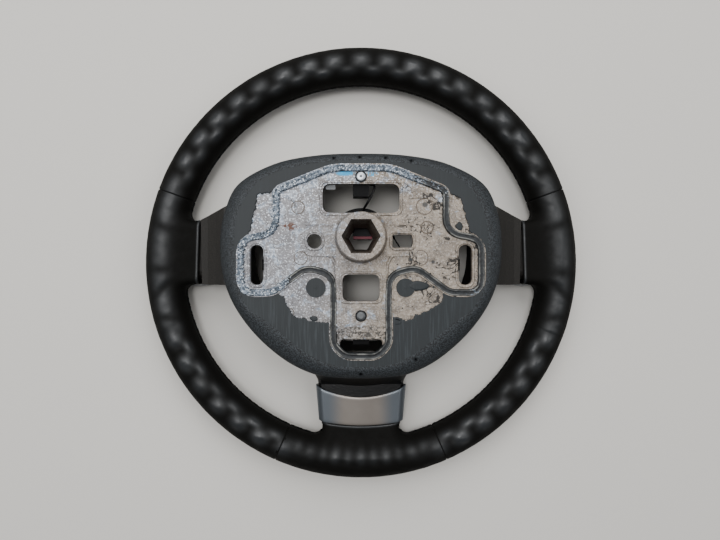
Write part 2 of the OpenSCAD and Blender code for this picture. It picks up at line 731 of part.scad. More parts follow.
// Openings in the tub's wall that the spokes pass through
module spoke_windows() {
    for (m = [0, 1]) mirror([m, 0, 0])
        translate([cover_x - 3 * tub_wall, -spoke_low, -tub_depth - overrun])
            cube([6 * tub_wall, spoke_hub_w, tub_depth - spoke_rise_hub + overrun]);
    low_window = low_half(along_low(low_cover_shares[0][0])) + neck_fit;
    translate([-low_window, -cover_low - 3 * tub_wall, -tub_depth - overrun])
        cube([2 * low_window, 7 * tub_wall, tub_depth - spoke_rise_hub + overrun]);
}
spoke_hub_w = 66;

// Vent pips, as shares of the tub's half width and height, and the foam plugs with their centre pips
vent_shares = [
    [-0.37, 0.91, 0.9], [-0.19, 0.94, 0.9], [0, 0.95, 0.9], [0.18, 0.94, 0.9], [0.36, 0.91, 0.9],
    [0, -0.952, 0.9], [0.38, -0.847, 0.9]
];
module vent(s) {
    p = tub_place(s);
    translate([p.x, p.y, skin_z - band_fall * 1.1]) cylinder(d = vent_d, h = band_fall * s.z);
}
foam_plug_d = 15.6;
runner_len = 38;
runner_turn = 69;
runner_w = 6;
runner_t = 2.5;
runner_gap = 0.2;
module foam_plug(s) {
    translate([s.x * bead_half_w, s.y * bead_len, plate_front - runner_t]) {
        cylinder(d = foam_plug_d * s.z, h = runner_t + plate_t + skin_t);
        cylinder(d = vent_d, h = runner_t + plate_t + skin_t * 1.5);
        rotate([90, 0, s.x > 0 ? -runner_turn : runner_turn - 180])
            translate([0, 0, -runner_w / 2])
                linear_extrude(runner_w)
                    polygon([
                        [0, 0], [runner_len, 0], [runner_len, runner_t + plate_t / 2],
                        [runner_len - runner_w, runner_t + plate_t / 2],
                        [runner_len - runner_w, runner_t - runner_gap], [0, runner_t - runner_gap]
                    ]);
    }
}

// The bottom spoke's rear profile, from inside the tub to the leather: [share of the way from the tub's
// edge to the groove, share of the rise]
low_cover_shares = [[-0.14, -0.38], [0, -0.3], [0.12, -0.15], [0.235, 0.02], [1, 0]];
function along_low(s) = -cover_low + s * (low_groove_y + cover_low);

// The neck that carries the tub down to the bottom spoke
neck_reach = 12.5;
neck_steps = 16;
neck_fit = 0.4;
low_rear = [for (s = low_cover_shares)
    [-along_low(s[0]), -low_spoke_rise - s[1] * (low_spoke_rise - spoke_rise_hub)]];
function neck_section(u) =
    let(
        bow = 1 - u * u, x = u * low_spoke_w / 2,
        y = -cover_low * (0.962 + 0.035 * bow), far = y - neck_reach * (0.8 + 0.2 * bow),
        high = -spoke_rise_hub + tub_wall * 1.3, t = tub_wall * 0.8
    )
    [
        [x, y, high], [x, y + t, high], [x * 0.97, far + t, lookup(-far - t, low_rear) + neck_fit],
        [x * 0.97, far, lookup(-far, low_rear) + neck_fit]
    ];
module neck() {
    tube([for (i = [0:neck_steps]) neck_section(2 * i / neck_steps - 1)]);
}

module hub_overmould() {
    color("#3a3e42") {
        difference() {
            union() {
                translate([0, 0, plate_z]) linear_extrude(skin_t) difference() {
                    polygon(smooth_line);
                    polygon(grown(bead_line, bead_w / 2));
                    for (p = pads) polygon(p);
                }
                translate([0, 0, plate_front]) linear_extrude(plate_t) difference() {
                    polygon(smooth_line);
                    polygon(plate_line);
                    polygon(grown(bead_line, bead_w / 2));
                }
                tub_wall_ring();
                for (s = vent_shares) vent(s);
                for (s = plug_shares) foam_plug(s);
            }
            spoke_windows();
            for (m = [0, 1]) mirror([m, 0, 0]) side_arm();
        }
        neck();
    }
}

// The foam on the ring and the arms. A side spoke's cover follows its plan and its side profile.
cover_profile_shares = [[-0.12, 0], [0, 0.03], [0.35, 0.42], [0.7, 0.78], [1, 1]];
function along_spoke(s) = cover_x + s * (groove_x - groove_w - cover_x);
module side_cover() {
    rear = [for (s = cover_profile_shares)
        [along_spoke(s[0]), -spoke_rise_hub - s[1] * (spoke_rise_rim - spoke_rise_hub)]];
    intersection() {
        translate([0, spoke_w, 0])
            rotate([90, 0, 0])
                linear_extrude(2 * spoke_w)
                    polygon(concat(
                        rear, [[along_spoke(1), -spoke_front], [along_spoke(-0.12), -spoke_front]]
                    ));
        translate([0, 0, -rim_depth])
            linear_extrude(rim_depth)
                polygon([
                    [along_spoke(-0.12), -spoke_low], [along_spoke(0.94), -spoke_low],
                    [along_spoke(1), spoke_top], [along_spoke(-0.12), spoke_hub_w - spoke_low]
                ]);
    }
}
module side_neck() {
    inset = leather_t + leather_fit;
    translate([along_spoke(1) - overrun, spoke_mid, 0])
        rotate([90, 0, 90])
            linear_extrude(stub_reach)
                polygon(rounded(box_corners(
                    -spoke_w / 2 + 2 * inset, spoke_w / 2 - 2 * inset, -spoke_front + inset,
                    -spoke_rise_rim - 2 * inset, stub_corner - inset
                ), 3));
}
low_corner = 6;
function low_half(y) = low_spoke_end_w / 2
    + (low_spoke_w - low_spoke_end_w) / 2 * (y - low_groove_y) / (-cover_low - low_groove_y);
module low_cover() {
    tube([for (i = [len(low_rear) - 1:-1:0])
        let(
            y = -low_rear[i].x, half = low_half(y),
            outline = rounded(box_corners(-half, half, -spoke_front, low_rear[i].y, low_corner), 3)
        )
        [for (p = outline) [p.x, y, p.y]]
    ]);
}
module low_neck() {
    inset = leather_t + leather_fit;
    translate([0, low_groove_y + overrun, 0])
        rotate([90, 0, 0])
            linear_extrude(stub_reach)
                polygon(rounded(box_corners(
                    -low_spoke_end_w / 2 + 2 * inset, low_spoke_end_w / 2 - 2 * inset, -spoke_front + inset,
                    -low_spoke_rise - inset, stub_corner - inset
                ), 3));
}
module rim_foam() {
    inset = leather_t + leather_fit;
    color("#22201d") difference() {
        union() {
            translate([0, -rim_drop, 0]) rotate_extrude()
                polygon([for (i = [0:foam_sides - 1])
                    let(a = 360 * i / foam_sides, sink = inset + rear_sink(a))
                    [rim_r + (grip_w / 2 - sink) * cos(a), rim_z + (grip_h / 2 - sink) * sin(a)]]);
            for (m = [0, 1]) mirror([m, 0, 0]) {
                side_cover();
                side_neck();
            }
            low_cover();
            low_neck();
        }
        core_ring();
        for (m = [0, 1]) mirror([m, 0, 0]) side_arm();
        low_arm();
    }
}

// The silver saddle on the bottom spoke: a bent sheet whose sections run across the spoke, as shares of
// its half width and of its side's height, with an upper edge that dips along the tub
saddle_section_shares = [
    [1, 1], [1, 0.45], [0.99, 0.22], [0.955, 0.09], [0.89, 0.03], [0.8, 0.012], [0.45, 0.004], [0, 0]
];
saddle_section = concat(
    [for (s = saddle_section_shares) [-s[0], s[1]]],
    [for (i = [len(saddle_section_shares) - 2:-1:0]) saddle_section_shares[i]]
);
saddle_dip = 9.5;
saddle_steps = 5;
function saddle_ring(t, lift) = [
    for (s = saddle_section)
        let(
            top = low_groove_y + saddle_len + saddle_dip * s[0] * s[0],
            low = low_groove_y + saddle_dip * 0.35 * s[0] * s[0],
            y = low + (top - low) * t
        )
        [s[0] * (low_half(y) + lift), y, -low_spoke_rise + lift - s[1] * saddle_side]
];
module spoke_trim_bottom() {
    k = len(saddle_section);
    sheets = [for (lift = [trim_fit, trim_fit + trim_t], i = [0:saddle_steps])
        saddle_ring(i / saddle_steps, lift)];
    n = saddle_steps + 1;
    far = n * k;
    color("#b9bbbd") polyhedron(
        points = [for (r = sheets) each r],
        faces = flipped(concat(
            flipped([for (i = [0:n - 2], j = [0:k - 2]) each let(a = i * k + j)
                [[a, a + 1, a + k + 1], [a, a + k + 1, a + k]]]),
            [for (i = [0:n - 2], j = [0:k - 2]) each let(a = far + i * k + j)
                [[a, a + 1, a + k + 1], [a, a + k + 1, a + k]]],
            [for (j = [0:k - 2]) each let(a = j, b = far + j) [[a, a + 1, b + 1], [a, b + 1, b]]],
            [for (j = [0:k - 2]) each let(a = (n - 1) * k + j, b = far + (n - 1) * k + j)
                [[a, b + 1, a + 1], [a, b, b + 1]]],
            [for (i = [0:n - 2]) each let(a = i * k, b = far + i * k) [[a, b + k, a + k], [a, b, b + k]]],
            [for (i = [0:n - 2]) each let(a = i * k + k - 1, b = far + i * k + k - 1)
                [[a, a + k, b + k], [a, b + k, b]]]
        ))
    );
}

// A silver side trim: a tray over the front of the spoke with skirts up its two edges
module side_trim() {
    outer_x = groove_x + side_trim_len / 3;
    inner_x = outer_x - side_trim_len;
    rise = (spoke_hub_w - spoke_w) * (groove_x - inner_x) / (groove_x - cover_x);
    plan = [
        [inner_x, -spoke_low], [outer_x, -spoke_low], [outer_x, spoke_top], [groove_x, spoke_top],
        [inner_x, spoke_top + rise]
    ];
    back = -spoke_front - trim_fit;
    difference() {
        translate([0, 0, back - trim_t])
            linear_extrude(trim_t + side_trim_skirt) polygon(grown(plan, trim_fit + trim_t));
        translate([0, 0, back]) linear_extrude(side_trim_skirt + overrun) polygon(grown(plan, trim_fit));
        for (x = [inner_x, outer_x + trim_t + 2 * overrun])
            translate([x - trim_t - 2 * overrun, -spoke_w, back - trim_t - overrun])
                cube([trim_t + 2 * overrun, 2 * spoke_w, side_trim_skirt + trim_t + 2 * overrun]);
    }
}
module spoke_trim_left() {
    color("#b9bbbd") mirror([1, 0, 0]) side_trim();
}
module spoke_trim_right() {
    color("#b9bbbd") side_trim();
}

// Horn contacts: a housing on the plate's front, held by its rivet, with a plunger sprung in a chamber
housing_reach_top = 15.1;
housing_reach_low = 23.4;
housing_back = 7;
collar_over = 2;
collar_t = 2;
mouth_t = 2.5;
chamber_roof = 3.5;
wire_d = 0.9;
spring_turns = 4;
spring_sides = 6;
spring_steps = 8;
rivet_fit = 0.05;
collar_d = plunger_d + collar_over;
chamber_d = collar_d + 2 * plunger_fit;
housing_front = plate_front - housing_h;
chamber_top = plate_front - chamber_roof;
chamber_floor = housing_front + mouth_t;
collar_low = chamber_floor + plunger_fit;
module contact_housing(y, reach) {
    color("#17181a") difference() {
        translate([-housing_w / 2, y - reach, housing_front])
            cube([housing_w, reach + housing_back, housing_h]);
        translate([-housing_w, y - reach - overrun, housing_front - overrun])
            cube([
                housing_w * 0.62, reach - plunger_offset - chamber_d / 4 - housing_back / 2, housing_h / 3
            ]);
        translate([0, y, housing_front - overrun]) {
            cylinder(d = rivet_d + 2 * rivet_fit, h = housing_h + 2 * overrun);
            cylinder(d = rivet_head_d + overrun, h = rivet_head_h + 2 * overrun);
        }
        translate([0, y - plunger_offset, 0]) {
            translate([0, 0, chamber_floor]) cylinder(d = chamber_d, h = chamber_top - chamber_floor);
            translate([0, 0, housing_front - overrun])
                cylinder(d = plunger_d + 2 * plunger_fit, h = mouth_t + 2 * overrun);
        }
    }
}
module contact_rivet(y, seat) {
    tail = housing_front + rivet_head_h + overrun;
    r = rivet_head_d / 2;
    color("#d9dadb") translate([0, y, 0]) rotate_extrude()
        polygon([
            [0, seat + rivet_head_h], [r * 0.55, seat + rivet_head_h], [r * 0.85, seat + rivet_head_h * 0.7],
            [r, seat + rivet_head_h * 0.25], [r, seat], [rivet_d / 2, seat], [rivet_d / 2, tail],
            [r * 0.85, tail], [r * 0.7, tail - rivet_head_h * 0.8], [0, tail - rivet_head_h]
        ]);
}
module contact_plunger(y) {
    r = plunger_d / 2;
    tip = housing_front - plunger_stub - plunger_travel;
    color("#c9c4b4") translate([0, y - plunger_offset, 0]) rotate_extrude()
        polygon([
            [0, tip], [r * 0.6, tip], [r * 0.9, tip + r * 0.2], [r, tip + r * 0.5], [r, collar_low],
            [collar_d / 2, collar_low], [collar_d / 2, collar_low + collar_t], [0, collar_low + collar_t]
        ]);
}
module contact_spring(y) {
    low = collar_low + collar_t + wire_d / 2;
    high = chamber_top - wire_d / 2;
    n = spring_turns * spring_steps;
    r = (collar_d - wire_d) / 2 - plunger_fit;
    color("#a7a9ac") translate([0, y - plunger_offset, 0])
        tube(route_rings([for (i = [0:n]) let(a = 360 * i / spring_steps)
            [r * cos(a), r * sin(a), low + (high - low) * i / n]], wire_d, spring_sides));
}
raised_seat = plate_z + bead_h * 0.8;
module contact_housing_top() {
    contact_housing(top_rivet_y, housing_reach_top);
}
module contact_housing_bottom() {
    contact_housing(-low_rivet_y, housing_reach_low);
}
module contact_rivet_top() {
    contact_rivet(top_rivet_y, plate_z);
}
module contact_rivet_bottom() {
    contact_rivet(-low_rivet_y, raised_seat);
}
module contact_plunger_top() {
    contact_plunger(top_rivet_y);
}
module contact_plunger_bottom() {
    contact_plunger(-low_rivet_y);
}
module contact_spring_top() {
    contact_spring(top_rivet_y);
}
module contact_spring_bottom() {
    contact_spring(-low_rivet_y);
}

// The sheet tab that reaches into the slot above the hub
tab_t = 0.8;
tab_w = 7.6;
tab_len = 9;
tab_in = 4;
module contact_tab() {
    x = -top_slot_w / 2 + tab_w / 3;
    y = top_slot_y + top_slot_h / 2 - tab_in;
    color("#9a9da0") translate([x, y, plate_front - tab_t]) {
        cube([tab_w, tab_len, tab_t]);
        translate([0, tab_len - tab_t, -tab_w * 0.6]) cube([tab_w, tab_t, tab_w * 0.6 + tab_t / 2]);
    }
}

// Airbag catches: a slider in a guide on the plate's front, its nose in the side slot
catch_edge = side_slot_x - side_slot_w / 2;
guide_len = catch_len - catch_nose + catch_travel + catch_fit;
module catch_guide() {
    w = catch_w + 2 * (catch_fit + guide_wall);
    h = catch_t + 2 * catch_fit + guide_wall;
    color("#1a1b1d") translate([catch_edge - guide_len, -side_slot_y, plate_front - h])
        difference() {
            translate([0, -w / 2, 0]) cube([guide_len, w, h]);
            translate([-overrun, -catch_w / 2 - catch_fit, guide_wall])
                cube([guide_len + 2 * overrun, catch_w + 2 * catch_fit, h]);
        }
}
module catch_slider() {
    color("#141516") translate([0, catch_w / 2 - side_slot_y, 0]) rotate([90, 0, 0])
        linear_extrude(catch_w)
            polygon([
                [catch_edge + catch_nose - catch_len, plate_front - catch_fit],
                [catch_edge + catch_nose * 0.6, plate_front - catch_fit],
                [catch_edge + catch_nose, plate_front - catch_fit - catch_nose],
                [catch_edge + catch_nose, plate_front - catch_fit - catch_t * 0.6],
                [catch_edge + catch_nose * 0.2, plate_front - catch_fit - catch_t],
                [catch_edge + catch_nose - catch_len, plate_front - catch_fit - catch_t]
            ]);
}
module catch_guide_left() {
    mirror([1, 0, 0]) catch_guide();
}
module catch_guide_right() {
    catch_guide();
}
module catch_left() {
    mirror([1, 0, 0]) catch_slider();
}
module catch_right() {
    catch_slider();
}

// The harness ring on the front of the hub, its connector, and the leads
harness_fit = 0.6;
harness_lap = 3;
plug_shift = 1.5;
plug_gap = 0.2;
lock_h = 2.2;
tab_reach = 2;
harness_back = -boss_len + harness_lap;
plug_low = 0.4;
plug_top = plug_low + plug_h;
plug_clear = 0.35;
plug_back = -boss_len - harness_lap - plug_clear;
module harness_ring() {
    color("#151618") {
        difference() {
            union() {
                translate([0, 0, harness_back - harness_t]) cylinder(d = harness_d, h = harness_t);
                translate([plug_shift - plug_w / 2, plug_top + plug_clear, plug_back - plug_t / 2])
                    cube([plug_w, harness_d / 2 - tab_reach - plug_top, plug_t / 2 + tab_reach]);
            }
            translate([0, 0, harness_back - harness_t + tab_reach])
                cylinder(d = boss_d + 2 * harness_fit, h = harness_t);
            translate([0, 0, plug_back - plug_t])
                cylinder(d = boss_d - 2 * tab_reach, h = plug_t + harness_t);
        }
        translate([plug_shift - plug_w / 4, plug_top + plug_clear, plug_back - tab_reach - plug_t / 4])
            cube([plug_w / 2, boss_d / 2 - plug_top, plug_t / 4]);
    }
}
module harness_connector() {
    color("#1c2230") difference() {
        translate([plug_shift - plug_w / 2, plug_low + lock_h + plug_gap, plug_back - plug_t])
            cube([plug_w, plug_h - lock_h - plug_gap, plug_t]);
        for (i = [-1:1])
            translate([
                plug_shift + (i - 1 / 3) * plug_w / 4, plug_low + plug_h * 0.45, plug_back - plug_t / 4
            ])
                cube([plug_w / 6, plug_h * 0.35, plug_t]);
    }
}
module connector_lock() {
    color("#6b2230")
        translate([plug_shift - plug_w * 0.47, plug_low, plug_back - plug_t * 0.9])
            cube([plug_w * 0.94, lock_h, plug_t * 0.9]);
}
lead_sides = 8;
horn_route = [
    [6.6, 44, -29], [8.4, 44, -28.9], [11, 42.5, -26.5], [9.5, 37, -25.5], [6, 30, -26.5], [3, 25.5, -31],
    [1.6, 23, -36], [1.5, 22.8, -40]
];
link_route = [
    [25, 4, -39.8], [25.3, 3.9, -37], [26.2, 1.5, -29], [28.5, -3, -25.2], [31.3, -7.4, -25.2],
    [33, -14, -30], [32.5, -22, -34.5], [28, -40, -35.5], [17, -54, -35], [10, -61.5, -32],
    [8.4, -62.8, -31.1], [6.6, -63, -31]
];
module horn_lead() {
    color("#111111") tube(route_rings(route_points(horn_route, 2), horn_lead_d, lead_sides));
}
module link_lead() {
    color("#111111") tube(route_rings(route_points(link_route, 2), link_lead_d, lead_sides));
}

armature();
hub_overmould();
rim_foam();
leather_top();
leather_left();
leather_right();
leather_bottom();
spoke_trim_bottom();
spoke_trim_left();
spoke_trim_right();
contact_housing_top();
contact_housing_bottom();
contact_rivet_top();
contact_rivet_bottom();
contact_plunger_top();
contact_plunger_bottom();
contact_spring_top();
contact_spring_bottom();
contact_tab();
catch_guide_left();
catch_guide_right();
catch_left();
catch_right();
harness_ring();
harness_connector();
connector_lock();
horn_lead();
link_lead();
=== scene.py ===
import json
import math

import bpy
import numpy as np
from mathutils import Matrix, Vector


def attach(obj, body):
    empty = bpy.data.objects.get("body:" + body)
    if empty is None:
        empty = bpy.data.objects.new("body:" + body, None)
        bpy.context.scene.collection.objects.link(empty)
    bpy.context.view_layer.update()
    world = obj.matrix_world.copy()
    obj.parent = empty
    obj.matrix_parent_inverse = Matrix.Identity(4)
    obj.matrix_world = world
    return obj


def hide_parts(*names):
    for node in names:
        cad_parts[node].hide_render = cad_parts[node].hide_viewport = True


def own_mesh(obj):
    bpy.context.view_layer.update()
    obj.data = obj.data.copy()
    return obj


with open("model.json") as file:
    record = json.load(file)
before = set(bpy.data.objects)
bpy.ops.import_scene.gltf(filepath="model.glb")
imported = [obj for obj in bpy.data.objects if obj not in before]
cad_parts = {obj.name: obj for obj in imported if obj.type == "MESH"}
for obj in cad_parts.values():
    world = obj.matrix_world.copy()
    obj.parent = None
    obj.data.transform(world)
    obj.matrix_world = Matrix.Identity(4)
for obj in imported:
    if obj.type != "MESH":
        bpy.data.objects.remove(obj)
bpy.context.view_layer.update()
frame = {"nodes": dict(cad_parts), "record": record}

# Sizes in millimetres, in the part's own frame: the origin is the centre of the hub's rear face, +Z runs to
# the steering column and +Y to 12 o'clock.
MM = 0.001
RIM_R, RIM_Y, RIM_Z = 171.5, -19.4, -62.0
HALF_W, HALF_H = 16.0, 18.0
LEATHER_T = 1.4
SEAMS = {"top": (20.0, 160.0), "left": (160.0, 246.4), "bottom": (246.4, 293.6), "right": (293.6, 380.0)}
SEAM_GAP = 0.4
SCALLOPS = 48
SCALLOP_DEPTH = 1.7
FADE = np.array([
    [-20, 0], [18, 0], [27, 1], [153, 1], [162, 0], [197, 0], [205, 1], [240, 1], [250, 0.7],
    [290, 0.7], [300, 1], [335, 1], [343, 0], [380, 0]])
DENTS = [(169.7, 1.5, 0.9, 0.8), (182.0, 1.6, 0.35, 0.0), (188.1, 1.3, 1.1, -2.2), (196.0, 1.4, 0.7, 1.0),
         (10.6, 1.5, 0.9, -0.8), (357.0, 1.6, 0.3, 0.0), (351.6, 1.3, 1.0, 2.2), (344.0, 1.4, 0.7, -1.0)]
BEAD_HALF_W, BEAD_LEN, BEAD_CORNER_R = 97.0, 152.0, 14.0
BEAD_SHARES = [
    (0.24, 0.372, 3), (0.71, 0.252, 0.6), (0.71, 0.03, 1), (1, -0.002, 1), (1, -0.3, 1), (0.72, -0.296, 1.2),
    (0.45, -0.168, 1), (0.245, -0.2, 0.9), (0.237, -0.34, 1.5), (0.242, -0.56, 1), (0.14, -0.63, 1)]
PADS = [
    [(-0.66, 0.25, 0.2), (-0.75, 0.238, 0.2), (-0.855, 0.23, 0.3), (-0.88, 0.138, 0.4), (-0.905, 0.06, 0.3),
     (-0.93, 0, 0.2), (-0.66, 0, 0.2)],
    [(0.66, 0.25, 0.2), (0.725, 0.23, 0.2), (0.824, 0.216, 0.3), (0.86, 0.12, 0.4), (0.892, 0.041, 0.3),
     (0.97, -0.01, 0.2), (0.66, 0, 0.2)],
    [(-0.22, -0.2, 0.1), (-0.44, -0.17, 0.2), (-0.7, -0.285, 0.2), (-0.645, -0.31, 0.3), (-0.6, -0.37, 0.3),
     (-0.58, -0.4, 0.2), (-0.54, -0.415, 0.2), (-0.43, -0.437, 0.3), (-0.27, -0.452, 0.1), (-0.22, -0.45,
                                                                                            0.1)],
    [(0.22, -0.2, 0.1), (0.44, -0.17, 0.2), (0.6, -0.255, 0.2), (0.68, -0.288, 0.3), (0.687, -0.326, 0.3),
     (0.633, -0.356, 0.3), (0.375, -0.443, 0.3), (0.27, -0.418, 0.1), (0.22, -0.41, 0.1)]]
SMOOTH_SHARES = [
    (0, 0.9), (0.3, 0.87), (0.55, 0.79), (0.74, 0.62), (0.86, 0.3), (0.89, -0.04), (0.87, -0.3), (0.79,
                                                                                                  -0.49),
    (0.64, -0.61), (0.46, -0.76), (0.28, -0.87), (0.13, -0.905), (0, -0.91)]
EDGE_SHARES = [
    (0, 1), (0.31, 0.98), (0.61, 0.88), (0.87, 0.64), (0.97, 0.3), (1, -0.05), (0.975, -0.29), (0.89, -0.5),
    (0.74, -0.7), (0.54, -0.87), (0.34, -0.967), (0.16, -0.995), (0, -1)]
HUB_W, HUB_TOP, HUB_LOW = 114.5, 68.7, 114.3
BAND_Z, BAND_FALL, TUB_DEPTH = -15.74, 12.7, 71.0
FLASH_Z = -15.76
VENTS = np.array([(-21.7, 63.0), (-1.0, 63.8), (19.5, 63.2), (39.9, 60.9), (-0.2, -108.8), (43.4, -96.8)])
FOAM_SPOTS = [(45.5, -38.6, 8.0, 0.5, 61), (78.2, 8.7, 2.9, 1.2, 62), (-37.5, -64.5, 3.4, 0.6, 63),
              (28.6, -66.5, 4.2, 0.8, 64)]
EJECTOR_RINGS = [(-50.1, 24.0, 5.0, 0.5, -17.0), (-48.0, -16.5, 5.3, 0.4, -17.0), (50.5, 24.7, 6.4, 0.5,
                                                                                   -17.0),
                 (47.3, -16.2, 6.0, 0.4, -17.0), (52.4, 8.0, 4.8, 0.45, -16.9), (-57.0, -60.0, 3.6, 0.4,
                                                                                 -17.0)]
STAMP_BARS = [(52.4, 8.0, 4.6, 62), (53.9, 9.4, 2.4, 10)]
RIBS = [
    ([(-44, 8.6), (-30, 8.8), (-19, 8.2)], 3.2, 0.9, -16.9), ([(20, 8.4), (30, 8.8), (42, 8.4)], 3.2, 0.9,
                                                              -16.9),
    ([(-42, -13.6), (-30, -13.0), (-23.5, -15.5), (-20.3, -22), (-19.8, -32)], 3.0, 0.8, -16.9),
    ([(40.5, -12.6), (30, -12.6), (24, -15.5), (21, -22), (20.3, -32)], 3.0, 0.8, -16.9),
    ([(-19.6, -34), (-19.4, -55)], 2.0, 0.5, -16.4), ([(19.6, -34), (19.8, -55)], 2.0, 0.5, -16.4),
    ([(-58, 32), (-53, 28), (-51, 18)], 1.6, 0.5, -16.9), ([(37, 31), (52, 31.5), (60, 27)], 1.2, 0.4, -16.9)]
LIPS = [(-31.2, 31.2, 19.2, 43.2, 4.5, -16.95), (-15.4, 15.4, -50.8, -29.2, 4.0, -15.7),
        (-17.4, 17.4, -93.0, -81.3, 4.0, -16.9), (-88.4, -77.4, -38.2, -5.6, 5.4, -16.9),
        (77.4, 88.4, -38.2, -5.6, 5.4, -16.9), (-43.0, -31.0, -8.8, 3.2, 6.0, -15.7),
        (24.6, 41.6, -8.4, 2.4, 3.0, -15.7)]
STITCH_PITCH = 3.8
SADDLE_LOW, SADDLE_LEN, SADDLE_DIP, SADDLE_HALF, SADDLE_Z = -160.4, 24.4, 9.5, 34.5, -54.0
TRIM_X0, TRIM_X1 = 152.0, 132.0
GRID = 1.15
SPRING_R, SPRING_WIRE, SPRING_TURNS, SPRING_LOW, SPRING_HIGH, SPRING_TRAVEL = 3.25, 0.44, 5, -31.2, -25.5, 2.5
STUBS = {
    "right": dict(axis=(1, 0), middle=-10.8, groove=138.0, half=27.5, rear=(-47.0, -46.0), front=-71.0,
                  corner=6.0, length=28.0, slant=-0.03, curve=0.0, centre=363.2),
    "left": dict(axis=(-1, 0), middle=10.8, groove=138.0, half=27.5, rear=(-47.0, -46.0), front=-71.0,
                 corner=6.0, length=28.0, slant=0.03, curve=0.0, centre=176.8),
    "bottom": dict(axis=(0, -1), middle=0.0, groove=160.4, half=34.5, rear=(-54.2, -47.0), front=-71.0,
                   corner=9.0, length=24.0, slant=0.0, curve=-3.3, centre=270.0),
}


# Meshes

def make_piece(name, points, faces, material, body, slot, stands_for=(), **marks):
    """A mesh piece from points in millimetres and faces, smooth, riding on a body. Each mark is a number per
    point that a material reads as an attribute."""
    mesh = bpy.data.meshes.new(name)
    mesh.from_pydata((np.asarray(points) * MM).tolist(), [], faces)
    mesh.polygons.foreach_set("use_smooth", np.ones(len(mesh.polygons), bool))
    mesh.materials.append(material)
    for mark, values in marks.items():
        mesh.attributes.new(mark, "FLOAT", "POINT").data.foreach_set("value", np.asarray(values, np.float32))
    mesh.update()
    piece = bpy.data.objects.new(name, mesh)
    bpy.context.scene.collection.objects.link(piece)
    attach(piece, body)
    if stands_for:
        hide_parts(*stands_for)
    return piece


def weld(points, quads):
    """Points that share a place become one, and a quad that loses a corner becomes a triangle."""
    key = np.round(points, 4)
    _, first, back = np.unique(key, axis=0, return_index=True, return_inverse=True)
    quads = back.reshape(-1)[quads]
    after = np.roll(quads, -1, axis=1)
    keep = quads != after
    count = keep.sum(1)
    whole = quads[count == 4]
    whole = whole[(whole[:, 0] != whole[:, 2]) & (whole[:, 1] != whole[:, 3])]
    part = quads[count == 3]
    tri = part[keep[count == 3]].reshape(-1, 3)
    return points[first], whole, tri, back.reshape(-1)


def edges_of(*face_sets):
    """The mesh's edges, each once, from its arrays of faces."""
    pairs = np.concatenate([np.stack([f, np.roll(f, -1, axis=1)], 2).reshape(-1, 2) for f in face_sets])
    return np.unique(np.sort(pairs, axis=1), axis=0)


def mean_of_neighbours(points, edges):
    """Each point's neighbours' mean, by sums over the edges."""
    n = len(points)
    total = np.zeros_like(points)
    for a, b in ((0, 1), (1, 0)):
        for k in range(3):
            total[:, k] += np.bincount(edges[:, a], weights=points[edges[:, b], k], minlength=n)
    return total / np.maximum(np.bincount(edges.reshape(-1), minlength=n), 1)[:, None]


# Leather

def grip_gap(p):
    """How far a point is outside the grip, a ring of elliptic section about the rim's centre line."""
    r = np.hypot(p[:, 0], p[:, 1] - RIM_Y) - RIM_R
    z = p[:, 2] - RIM_Z
    level = np.hypot(r / HALF_W, z / HALF_H)
    return (level - 1) * np.hypot(r, z) / np.maximum(level, 1e-6)


def stub_frame(p, stub):
    """A point's distance along the spoke from the shaft axis and its distance across the spoke."""
    ax, ay = stub["axis"]
    s = p[:, 0] * ax + p[:, 1] * ay
    t = -p[:, 0] * ay + p[:, 1] * ax - stub["middle"]
    return s, t


def stub_gap(p, stub):
    """How far a point is outside the stub, a bar of round-cornered section along its spoke."""
    s, t = stub_frame(p, stub)
    share = np.clip((s - stub["groove"]) / stub["length"], -0.5, 1.2)
    rear = stub["rear"][0] + (stub["rear"][1] - stub["rear"][0]) * share
    mid, half = (rear + stub["front"]) / 2, (rear - stub["front"]) / 2
    r = stub["corner"]
    qt = np.abs(t) - (stub["half"] - r)
    qz = np.abs(p[:, 2] - mid) - (half - r)
    bar = np.hypot(np.maximum(qt, 0), np.maximum(qz, 0)) + np.minimum(np.maximum(qt, qz), 0) - r
    end = s - stub["groove"] - stub["length"]
    return np.hypot(np.maximum(bar, 0), np.maximum(end, 0)) + np.minimum(np.maximum(bar, end), 0)


def joined_gap(p, stub, blend=11.0):
    """The smaller of both distances, rounded where they are alike, which makes the fillet between them."""
    a = grip_gap(p)
    if stub is None:
        return a
    b = stub_gap(p, stub)
    h = np.maximum(blend - np.abs(a - b), 0) / blend
    return np.minimum(a, b) - h * h * blend / 4


def slope(p, stub, step=0.05):
    """The direction in which the distance grows, from differences along the three axes."""
    return np.stack([(joined_gap(p + step * e, stub) - joined_gap(p - step * e, stub)) / (2 * step)
                     for e in np.eye(3)], 1)


def grip_point(a, f):
    """A point of the plain grip at angle a round the rim and angle f round its section, in degrees."""
    a, f = np.radians(a), np.radians(f)
    r = RIM_R + HALF_W * np.cos(f)
    return np.stack([r * np.cos(a), RIM_Y + r * np.sin(a), RIM_Z + HALF_H * np.sin(f)], -1)


